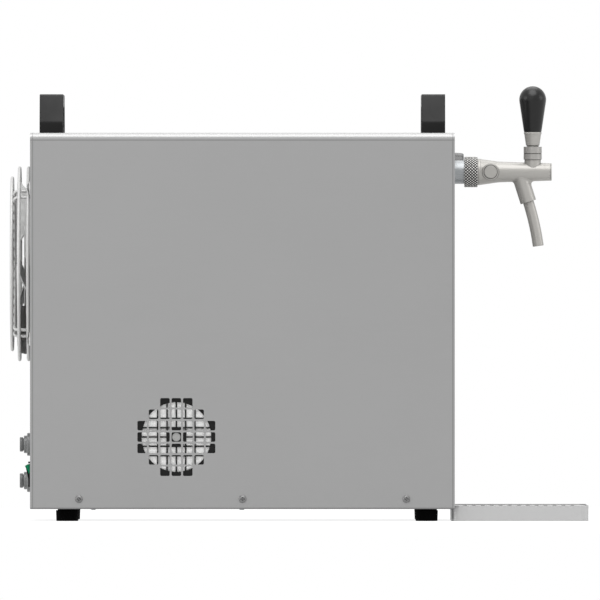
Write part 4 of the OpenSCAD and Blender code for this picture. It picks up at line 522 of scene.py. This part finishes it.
# radius of the tap's cone and barrel at x
def barrelAt(x):
    taper = (tap["barrelEndR"] - tap["barrelR"]) / tap["barrelL"]
    return np.where(x < barrelX, tap["coneR"] + (tap["barrelR"] - tap["coneR"]) * (x - coneX) / tap["coneL"],
                    tap["barrelR"] + taper * (x - barrelX))


# rolling ball fillet: ball centre on both offset surfaces, then an arc of the ball between its two touching points
def fillet(origin, axis, radius, ball, sides=72, steps=7):
    w, u, v = crossAxes(axis)
    t = np.linspace(0, 2 * np.pi, sides, endpoint=False)[:, None]
    out = np.cos(t) * u + np.sin(t) * v
    low, high = np.zeros((sides, 1)), np.full((sides, 1), 40.0)
    for _ in range(40):  # halving search for the height where the ball rests on the barrel
        middle = (low + high) / 2
        centre = origin + middle * w + (radius + ball) * out
        radial = np.hypot(centre[:, 1], centre[:, 2] - tap["axisZ"])[:, None]
        inside = radial < barrelAt(centre[:, :1]) + ball
        low, high = np.where(inside, middle, low), np.where(inside, high, middle)
    normal = np.stack([np.zeros(sides), centre[:, 1], centre[:, 2] - tap["axisZ"]], axis=1)
    normal /= np.linalg.norm(normal, axis=1)[:, None]
    angle = np.arccos(np.clip((out * normal).sum(1), -1, 1))[:, None, None]
    s = np.linspace(0, 1, steps)[None, :, None]
    arc = centre[:, None] - ball * (np.sin((1 - s) * angle) * out[:, None]
                                    + np.sin(s * angle) * normal[:, None]) / np.sin(angle)
    inner = centre - 1.5 * ball * (out + normal)
    points = np.concatenate([arc, inner[:, None]], axis=1)
    return points.reshape(-1, 3), [gridFaces(sides, steps + 1, True, True)]


spoutDir = np.array([math.sin(tap["lean"]), 0, -math.cos(tap["lean"])])
spoutSide = np.array([-math.cos(tap["lean"]), 0, -math.sin(tap["lean"])])
spoutFrom = tapAxis + tap["spoutX"] * xAxis
leverFrom = tapAxis + tap["leverX"] * xAxis
discFrom = tapAxis + tap["discX"] * xAxis
capR = float(barrelAt(np.array(capX)))
bodyLine = eased([[flangeX + 0.05, 0], [flangeX + 0.05, tap["flangeR"]], [coneX - 0.1, tap["flangeR"]],
                  [coneX + 0.3, tap["coneR"]], [barrelX, tap["barrelR"]], [capX - 0.12, capR], [capX - 0.12, 0]],
                 [0, 0.5, 0.4, 0.4, 3.0, 0.35, 0])
bossEnd, bossFloor, socketR = tap["bossL"], tap["bossL"] - tap["bossSink"], tap["spoutR"] + tap["spoutGap"]
bossLine = eased([[0, 0], [0, tap["bossR"]], [bossEnd, tap["bossR"]], [bossEnd, socketR], [bossFloor, socketR],
                  [bossFloor, 0]], [0, 0, 0.8, 0.4, 0, 0])
neckL = tap["neckTop"] - tap["axisZ"]
neckLine = eased([[0, 0], [0, tap["neckR"]], [neckL, tap["neckR"]], [neckL, 0]], [0, 0, 0.3, 0])
ringEnd, ringFloor, seatR = -tap["ringY"], -tap["ringY"] - tap["ringSink"], tap["discR"] + tap["discGap"]
ringLine = eased([[0, 0], [0, tap["ringR"]], [ringEnd, tap["ringR"]], [ringEnd, seatR], [ringFloor, seatR],
                  [ringFloor, 0]], [0, 0, 0.25, 0.2, 0, 0])
bodyPieces = [turned(bodyLine, tapAxis, xAxis, 96), turned(bossLine, spoutFrom, spoutDir),
              turned(neckLine, leverFrom, zAxis), turned(ringLine, discFrom, -yAxis),
              fillet(spoutFrom, spoutDir, tap["bossR"], tap["bossFillet"]),
              fillet(leverFrom, zAxis, tap["neckR"], tap["smallFillet"]),
              fillet(discFrom, -yAxis, tap["ringR"], tap["smallFillet"])]
addPiece("tap_body_cast", bodyPieces, finishes["tap_metal"], "casing", ["tap_body"])
capLine = eased([[0, 0], [0, capR], [tap["capL"], capR - 0.04], [tap["capL"], 3.2], [tap["capL"] - 0.5, 2.6],
                 [tap["capL"] - 0.5, 0]], [0, 0.12, 0.6, 0.2, 0.1, 0])
addPiece("tap_end_cap_turned", [turned(capLine, tapAxis + capX * xAxis, xAxis)], finishes["tap_metal"], "casing",
         ["tap_end_cap"])

# spout: straight in its socket, then an arc towards the plumb line, open below with a rolled lip
turnAt = np.linspace(0, tap["arcTurn"], 40)
start = spoutFrom + (tap["bossL"] - tap["socketL"]) * spoutDir
bend = start + tap["socketL"] * spoutDir + tap["arcR"] * ((1 - np.cos(turnAt))[:, None] * spoutSide
                                                          + np.sin(turnAt)[:, None] * spoutDir)
run = np.concatenate([start[None], bend])
sides = tap["spoutSides"]
shell, _ = carried(run, tap["spoutR"], yAxis, sides)
core, _ = carried(run, tap["spoutR"] - tap["spoutWall"], yAxis, sides)
outerRows, coreRows = shell.reshape(-1, sides, 3), core.reshape(-1, sides, 3)[::-1]
endDir = run[-1] - run[-2]
endDir /= np.linalg.norm(endDir)
lipAngle = np.linspace(0, np.pi, 7)[1:-1, None, None]
lipMid, lipHalf = (outerRows[-1] + coreRows[0]) / 2, (outerRows[-1] - coreRows[0]) / 2
lipRows = lipMid + np.cos(lipAngle) * lipHalf + np.sin(lipAngle) * 0.5 * tap["spoutWall"] * endDir
spoutRows = np.concatenate([outerRows, lipRows, coreRows])
addPiece("spout_tube_bent", [(spoutRows.reshape(-1, 3), [gridFaces(len(spoutRows), sides, True, True)])],
         finishes["tap_metal"], "casing", ["spout_tube"])

# lever: ferrule and pear grip, both turned round the lever's upright axis
ferruleLow, ferruleHigh = tap["ferruleR"]
length = tap["ferruleL"]
ferruleLine = eased([[0.0, 0], [0.0, ferruleLow], [1.6, ferruleLow + 0.15], [length - 2.2, ferruleHigh - 0.45],
                     [length - 1.8, ferruleHigh], [length, ferruleHigh], [length, 0]],
                    [0, 0.5, 1.0, 0.3, 0.3, 0.35, 0])
upright = np.array([tap["leverX"], 0, 0])
addPiece("lever_ferrule_turned", [turned(ferruleLine, upright + tap["ferruleZ"] * zAxis, zAxis)],
         finishes["tap_metal"], "lever", ["lever_ferrule"])
ball, foot = tap["gripR"], ferruleHigh
ballZ = tap["gripL"] - ball
leanIn = math.asin(ball / math.hypot(ballZ, foot)) - math.atan2(foot, ballZ)
swell = np.linspace(-leanIn, math.pi / 2, 40)
head = np.stack([ballZ + ball * np.sin(swell), ball * np.cos(swell)], axis=1)
stem = np.stack([np.linspace(0.9, head[0, 0], 14)[:-1], np.linspace(foot, head[0, 1], 14)[:-1]], axis=1)
gripLine = np.concatenate([[[0, 0], [0, foot - 0.8], [0.25, foot - 0.3]], stem, head])
gripLine[-1, 1] = 0
addPiece("lever_grip_moulded", [turned(gripLine, upright + tap["gripZ"] * zAxis, zAxis, 96)],
         finishes["grip_plastic"], "lever", ["lever_grip"])


# disc with a shaped face: origin + axis * height(r, t) + r * (cos t * u + sin t * v), closed by its tail rows
def faceDisc(origin, axis, radius, tail, heightOf, rings=40, sides=96):
    w, u, v = crossAxes(axis)
    t = np.linspace(0, 2 * np.pi, sides, endpoint=False)
    rr, tt = np.meshgrid(radius * np.linspace(0, 1, rings) ** 0.8, t, indexing="ij")
    z = heightOf(rr, tt)
    z[0] = z[0].mean()
    low = np.asarray(tail, float)
    z = np.concatenate([z, np.broadcast_to(low[:, :1], (len(low), sides))])
    rr = np.concatenate([rr, np.broadcast_to(low[:, 1:], (len(low), sides))])
    ring = np.cos(t)[:, None] * u + np.sin(t)[:, None] * v
    points = np.asarray(origin, float) + z[:, :, None] * w + rr[:, :, None] * ring[None]
    return points.reshape(-1, 3), [gridFaces(len(z), sides, False, True)]


# depth below a flat face: a bevel that falls off as a square over the last stretch to the rim
def bevelled(r, radius, bevel):
    return -bevel * (np.maximum(0, r - (radius - bevel)) / bevel) ** 2


disc = {"thick": 2.4, "bevel": 0.5}
addPiece("compensator_disc", [faceDisc(discFrom + tap["discY"] * yAxis, -yAxis, tap["discR"],
                                       [[-disc["thick"], tap["discR"]], [-disc["thick"], 0]],
                                       lambda r, t: bevelled(r, tap["discR"], disc["bevel"]))],
         finishes["tap_metal"], "compensator", ["compensator_knob"])
print("tap made")


# handles: bridge outline with eased corners, carried along x with round rims
handle = {"half": 100.0, "footH": 11.0, "footL": 26.0, "slope": 17.0, "height": 38.9, "bar": 12.0,
          "ease": (1.8, 3.6), "width": 23.6, "topZ": 387.5, "edge": 0.6,
          "centres": {"handle_rear": -247.35, "handle_front": 134.25}}


# drops each point that lies on the one before it
def distinct(points):
    p = np.asarray(points, float)
    return p[np.linalg.norm(p - np.roll(p, 1, 0), axis=1) > 1e-6]


def bridgeOutline(s):
    inner, under = s["half"] - s["footL"], s["height"] - s["bar"]
    side = np.array([[s["half"], 0], [s["half"], s["footH"]], [s["half"] - s["slope"], s["height"]]])
    hollow = np.array([[inner - s["slope"] / 2, under], [inner, s["footH"] / 2], [inner, 0]])
    flip = np.array([-1, 1])
    outline = np.concatenate([side, side[::-1] * flip, hollow[::-1] * flip, hollow])
    small, large = s["ease"]
    reach = [0, small, large, large, small, 0, 0, small, large, large, small, 0]
    return distinct(eased(outline, reach, 5, True))


def onTop(a, b, level):
    return np.stack([level, a, b + handle["topZ"]], axis=-1)


for name, centre in handle["centres"].items():
    low, high = centre - handle["width"] / 2, centre + handle["width"] / 2
    addPiece(name + "_moulded", [plate(bridgeOutline(handle), low, high, handle["edge"], onTop)],
             finishes["black_plastic"], "casing", [name])

# feet: tapered rubber with a sunk seat below and a neck above, turned round their studs
foot = {"lowR": 11.0, "highR": 11.4, "height": 10.9, "neckR": 5.5, "top": 12.1, "sinkR": 6.5, "sinkH": 5.0,
        "boreR": 3.1, "side": 100.0, "places": {"rear": -231.35, "front": 127.35}}
footLine = eased([[0, foot["sinkR"]], [0, foot["lowR"]], [foot["height"], foot["highR"]],
                  [foot["height"], foot["neckR"]], [foot["top"], foot["neckR"]], [foot["top"], foot["boreR"]],
                  [foot["sinkH"], foot["boreR"]], [foot["sinkH"], foot["sinkR"]]],
                 [0.5, 1.1, 0.9, 0.3, 0.1, 0.1, 0.1, 0.3], 4, True)
for end, x in foot["places"].items():
    for side, y in (("left", -foot["side"]), ("right", foot["side"])):
        addPiece(f"foot_{end}_{side}_rubber", [turned(footLine, (x, y, 0), zAxis, 64, True)],
                 finishes["rubber"], "casing", [f"foot_{end}_{side}"])

# pan heads: shallow dome with a tapered cross, on a shaft with thread ridges
panHead = {"cross": 0.29, "crossWidth": 0.12, "crossDepth": 0.55, "ball": 0.95, "threadPitch": 0.7, "threadCut": 0.3}


# depth below the crown: ball sagitta, a rim that falls off as an eighth power, and two crossing bars
def headHeight(r, t, radius, height):
    ball = radius * 2 * panHead["ball"]
    dome = ball - np.sqrt(ball ** 2 - r ** 2) + 0.3 * height * (r / radius) ** 8
    x, y = np.abs(r * np.cos(t)), np.abs(r * np.sin(t))
    wide, far = panHead["crossWidth"] * radius * 2, panHead["cross"] * radius * 2

    def bar(a, b):
        return np.clip((wide / 2 - a) / (0.3 * wide) + 0.5, 0, 1) * np.clip((far - b) / (0.5 * wide), 0, 1)

    return -dome - panHead["crossDepth"] * height * np.maximum(bar(x, y), bar(y, x))


# head on its seat, then the shaft's ridges down to a flat end
def panScrew(seat, axis, radius, height, shaftR, shaftL):
    w = np.asarray(axis, float)
    ridges = int(shaftL / panHead["threadPitch"]) * 2
    depth = np.linspace(0, shaftL, ridges)
    thread = shaftR - panHead["threadCut"] * (np.arange(ridges) % 2)
    tail = [[-height, radius], [-height, shaftR]] + np.stack([-height - depth, thread], axis=1).tolist()
    tail.append([-height - shaftL, 0])
    return faceDisc(np.asarray(seat, float) + height * w, w, radius, tail,
                    lambda r, t: headHeight(r, t, radius, height), 26, 72)


coverScrew = {"xs": (107.15, -56.25, -219.65), "z": 22.1, "halfW": 130.0, "size": (3.85, 2.2, 2.0, 6.5)}
screws = [panScrew((x, s * coverScrew["halfW"], coverScrew["z"]), s * yAxis, *coverScrew["size"])
          for x in coverScrew["xs"] for s in (-1, 1)]
addPiece("cover_screws_pan_head", screws, screwMetal, "casing", ["cover_screws"])
print("handles, feet and cover screws made")

# rear guard: round wires, in the fan's own frame (radial a towards z, across b towards y, height h towards -x)
guard = {"centreZ": 257.0, "faceH": 287.35, "faceR": 86.0, "pitch": 12.0, "rings": 7, "ringWire": 1.7,
         "sideR": 96.0, "sideH": (270.95, 279.95), "spokeH": 284.55, "spokeWire": 1.5, "pair": 4.75, "legR": 93.2,
         "bend": 5.0, "heel": 2.4, "footH": 268.35, "loop": 9.5, "angles": (42, -42, 138, -138), "capSteps": 5,
         "slant": (0.55, 0.6, 0.58),
         "screwX": -269.85, "screw": (4.5, 2.2, 2.0, 8.0)}


# fan's frame to the object's
def fromFan(a, b, h):
    a, b, h = np.broadcast_arrays(a, b, h)
    return np.stack([-h, b, guard["centreZ"] + a], axis=-1)


# closed ring: a = r cos t, b = r sin t
def guardRing(r, h, steps=112):
    t = np.linspace(0, 2 * np.pi, steps, endpoint=False)
    return carried(fromFan(r * np.cos(t), r * np.sin(t), h), guard["ringWire"], xAxis, 14, True)


# one leg of a hairpin: from its round end along the face, round a bend to the foot, a quarter round the screw;
# its end meets the next hairpin's leg, pair / tan(half the angle between the two)
def hairpinLeg(between):
    wire, pair, leg = guard["spokeWire"], guard["pair"], guard["legR"]
    inner = pair / math.tan(math.radians(between / 2)) - wire / 2
    cap = wire * (1 - np.cos(np.linspace(0, np.pi / 2, guard["capSteps"])))
    ends = np.concatenate([inner + cap, np.linspace(inner + 4, leg - guard["bend"] - 3, 8)])
    lead = np.stack([ends, np.full(len(ends), pair), np.full(len(ends), guard["spokeH"])], axis=1)
    corners = np.array([lead[-1], [leg, pair, guard["spokeH"]], [leg, pair, guard["footH"]],
                        [leg + guard["loop"], pair, guard["footH"]]])
    turnDown = eased(corners, [0, guard["bend"], guard["heel"], 0], 6)
    swing = np.linspace(np.pi / 2, 0, 9)[1:]
    loop = np.stack([leg + guard["loop"] + pair * np.cos(swing), pair * np.sin(swing),
                     np.full(len(swing), guard["footH"])], axis=1)
    return np.concatenate([lead, turnDown[1:], loop])


# both legs of one hairpin at its angle; the guide leans three ways, so no stretch of wire runs along it
def hairpin(angle):
    wire, steps = guard["spokeWire"], guard["capSteps"]
    upright = 2 * min(abs(angle), 180 - abs(angle))
    gaps = (180 - upright, upright) if math.tan(math.radians(angle)) > 0 else (upright, 180 - upright)
    path = np.concatenate([hairpinLeg(gaps[0]), hairpinLeg(gaps[1])[-2::-1] * np.array([1, -1, 1])])
    r = np.full(len(path), wire)
    r[:steps] = wire * np.sin(np.linspace(0, np.pi / 2, steps))
    r[-steps:] = r[:steps][::-1]
    c, s = math.cos(math.radians(angle)), math.sin(math.radians(angle))
    points = fromFan(path[:, 0] * c - path[:, 1] * s, path[:, 0] * s + path[:, 1] * c, path[:, 2])
    a, b, h = guard["slant"]
    return carried(points, r, fromFan(a * c - b * s, a * s + b * c, h) - fromFan(0, 0, 0), 14)


wires = [guardRing(guard["faceR"] - i * guard["pitch"], guard["faceH"]) for i in range(guard["rings"])]
wires += [guardRing(guard["sideR"], h) for h in guard["sideH"]]
wires += [hairpin(angle) for angle in guard["angles"]]
addPiece("wire_guard_welded", wires, finishes["wire"], "casing", ["wire_guard"], crease=60)
reach = guard["legR"] + guard["loop"]
seats = [fromFan(reach * math.cos(math.radians(a)), reach * math.sin(math.radians(a)), -guard["screwX"])
         for a in guard["angles"]]
addPiece("guard_screws_pan_head", [panScrew(seat, -xAxis, *guard["screw"]) for seat in seats], screwMetal,
         "casing", ["guard_screws"])
print("wire guard made")

# push-in fittings: collar, flange and tail turned round the tube's axis; each collet rides its own body
fitting = {"x": -266.85, "y": -58.0, "heights": {"water": 40.1, "co2": 76.3}, "collarR": 8.8, "collarOut": 8.4,
           "flangeR": 11.5, "flangeOut": 5.2, "shankR": 8.0, "shankL": 13.2, "tailR": 5.0, "tailL": 25.2,
           "boreR": 3.0, "seat": 10.6, "tubeR": 4.85, "sleeve": 3.6, "sleeveR": 6.26,
           "colletR": 7.25, "colletOut": 12.4, "colletRim": 3.2, "colletWall": 6.2, "colletIn": 2.8}
f = fitting
underRim = f["colletOut"] - f["colletRim"]
fittingLine = eased([[f["collarOut"], f["sleeveR"]], [f["collarOut"], f["collarR"]], [f["flangeOut"], f["collarR"]],
                     [f["flangeOut"], f["flangeR"]], [0, f["flangeR"]], [0, f["shankR"]], [-f["shankL"], f["shankR"]],
                     [-f["shankL"], f["tailR"]], [-f["tailL"], f["tailR"]], [-f["tailL"], f["boreR"]],
                     [-f["seat"], f["boreR"]], [-f["seat"], f["tubeR"]], [-f["sleeve"], f["tubeR"]],
                     [-f["sleeve"], f["sleeveR"]]],
                    [0.3, 0.9, 0.7, 1.7, 0.5, 0.3, 0.6, 0.3, 0.6, 0.3, 0.3, 0.2, 0.2, 0.2], 5, True)
colletLine = eased([[f["colletOut"], f["tubeR"]], [f["colletOut"], f["colletR"]], [underRim, f["colletR"]],
                    [underRim, f["colletWall"]], [-f["colletIn"], f["colletWall"]], [-f["colletIn"], f["tubeR"]]],
                   [0.6, 0.8, 0.5, 0.3, 0.2, 0.2], 5, True)
for name, z in f["heights"].items():
    addPiece(name + "_fitting_moulded", [turned(fittingLine, (f["x"], f["y"], z), -xAxis, 64, True)],
             finishes["grey_plastic"], "casing", [name + "_fitting"])
    addPiece(name + "_collet_moulded", [turned(colletLine, (f["x"], f["y"], z), -xAxis, 64, True)],
             colletPlastic, name + "_release", [name + "_collet"])

# rocker: hollow face, ends as arcs round the pivot (radius heelR + bulge * s^2), turned by its lean on its pins
rocker = {"pivot": (-266.85, -100.0, 46.7), "face": 5.0, "half": 9.65, "dish": 2.0, "heelR": 10.62, "bulge": 0.25,
          "heelTurn": math.radians(-9), "depth": 5.0, "keel": 4.0, "width": 11.5, "lean": math.radians(12),
          "edge": 0.6, "pinR": 1.5, "pinL": 7.35, "endSteps": 9}
k = rocker
s = np.linspace(1, 0, k["endSteps"])
angle = k["heelTurn"] + s * (math.atan2(k["face"], k["half"]) - k["heelTurn"])
reach = k["heelR"] + k["bulge"] * s ** 2
lowerEnd = np.stack([-reach * np.sin(angle), -reach * np.cos(angle)], axis=1)
plain = [0] * (k["endSteps"] - 2)
side = eased([[k["dish"] - k["face"], 0], *lowerEnd, [k["depth"], -k["keel"]], [k["depth"], k["keel"]],
              *(lowerEnd[::-1] * [1, -1])],
             [4.3, 0.5, *plain, 0.4, 0.6, 0.6, 0.4, *plain, 0.5], 6, True)


def onPivot(a, b, level):
    c, s = math.cos(rocker["lean"]), math.sin(rocker["lean"])
    return np.stack([a * c - b * s, level, a * s + b * c], axis=-1) + np.array(rocker["pivot"])


pin = [[-k["pinL"], 0], [-k["pinL"], k["pinR"]], [k["pinL"], k["pinR"]], [k["pinL"], 0]]
addPiece("switch_rocker_moulded", [plate(distinct(side), -k["width"] / 2, k["width"] / 2, k["edge"], onPivot),
                                   turned(pin, k["pivot"], yAxis, 32)],
         finishes["green_plastic"], "rocker", ["switch_rocker"])

# thermostat knob: shallow cone with a sunk mark on its face, hollow behind, on its shaft
knob = {"centre": (165.45, 60.0, 357.0), "faceR": 11.2, "rim": 0.6, "backR": 12.0, "height": 12.6, "hollowR": 9.0,
        "hollow": 10.2, "shaftR": 3.0, "shaft": 20.3, "markW": 1.6, "markH": 0.8, "markFrom": 0.4,
        "markEase": (0.25, 0.3)}
k = knob


# face depth: bevelled rim less a bar from the middle up to the rim
def knobFace(r, t):
    across, along = np.abs(r * np.sin(t)), -r * np.cos(t)
    sideEase, endEase = knob["markEase"]
    bar = np.clip((knob["markW"] / 2 - across) / sideEase + 0.5, 0, 1)
    bar = bar * np.clip((along - knob["markFrom"]) / endEase, 0, 1)
    return bevelled(r, knob["faceR"] - knob["rim"], knob["rim"]) - knob["markH"] * bar


knobTail = [[-k["rim"] - 0.4, k["faceR"] - 0.15], [-k["rim"] - 1.0, k["faceR"] + 0.03],
            [-k["height"] + 0.4, k["backR"]], [-k["height"], k["backR"] - 0.3],
            [-k["height"], k["hollowR"]], [-k["hollow"], k["hollowR"]],
            [-k["hollow"], k["shaftR"]], [-k["shaft"], k["shaftR"]], [-k["shaft"], 0]]
knobForm = faceDisc(k["centre"], xAxis, k["faceR"] - k["rim"], knobTail, knobFace, 44, 120)
addPiece("thermostat_knob_moulded", [knobForm], knobPlastic, "thermostat", ["thermostat_knob"])

# side guard: a round cap on the middle of its ribs
hubCap = {"centre": (-122.35, -128.6, 84.0), "radius": 4.3, "thick": 0.6, "bevel": 0.3}
k = hubCap
addPiece("side_guard_cap", [faceDisc(k["centre"], -yAxis, k["radius"], [[-k["thick"], k["radius"]], [-k["thick"], 0]],
                                     lambda r, t: bevelled(r, hubCap["radius"], hubCap["bevel"]), 16, 48)],
         capMetal, "casing")

# filter mat: two sheets that meet at a soft rim, half thickness * sqrt(1 - max(|u|, |v|)^rimPower), rippled by sines
mat = {"centre": (-122.35, -124.7, 84.0), "half": 39.0, "thick": 1.6, "rimPower": 24, "ripple": 0.05, "steps": 110,
       "seed": 5, "waves": 26, "mostTurns": 46}
k = mat
u, v = np.meshgrid(np.linspace(-1, 1, k["steps"]), np.linspace(-1, 1, k["steps"]), indexing="ij")
swell = np.sqrt(np.maximum(0, 1 - np.maximum(np.abs(u), np.abs(v)) ** k["rimPower"]))
dice = np.random.default_rng(k["seed"])
turns = dice.uniform(-k["mostTurns"], k["mostTurns"], (k["waves"], 2))
starts = dice.uniform(0, 2 * np.pi, k["waves"])
ripple = np.sin(u[..., None] * turns[:, 0] + v[..., None] * turns[:, 1] + starts).mean(-1) * math.sqrt(k["waves"])
sheets = []
for face in (-1, 1):
    depth = face * swell * (k["thick"] + k["ripple"] * ripple * (np.abs(swell) > 0.5))
    points = np.stack([u * k["half"], depth, v * k["half"]], axis=-1) + np.array(k["centre"])
    sheets.append((points.reshape(-1, 3), [gridFaces(k["steps"], k["steps"])]))
filterMat = addPiece("side_filter_mat", sheets, finishes["filter_mat"], "casing", ["side_filter"])
print("fittings, rocker, knob and filter made")
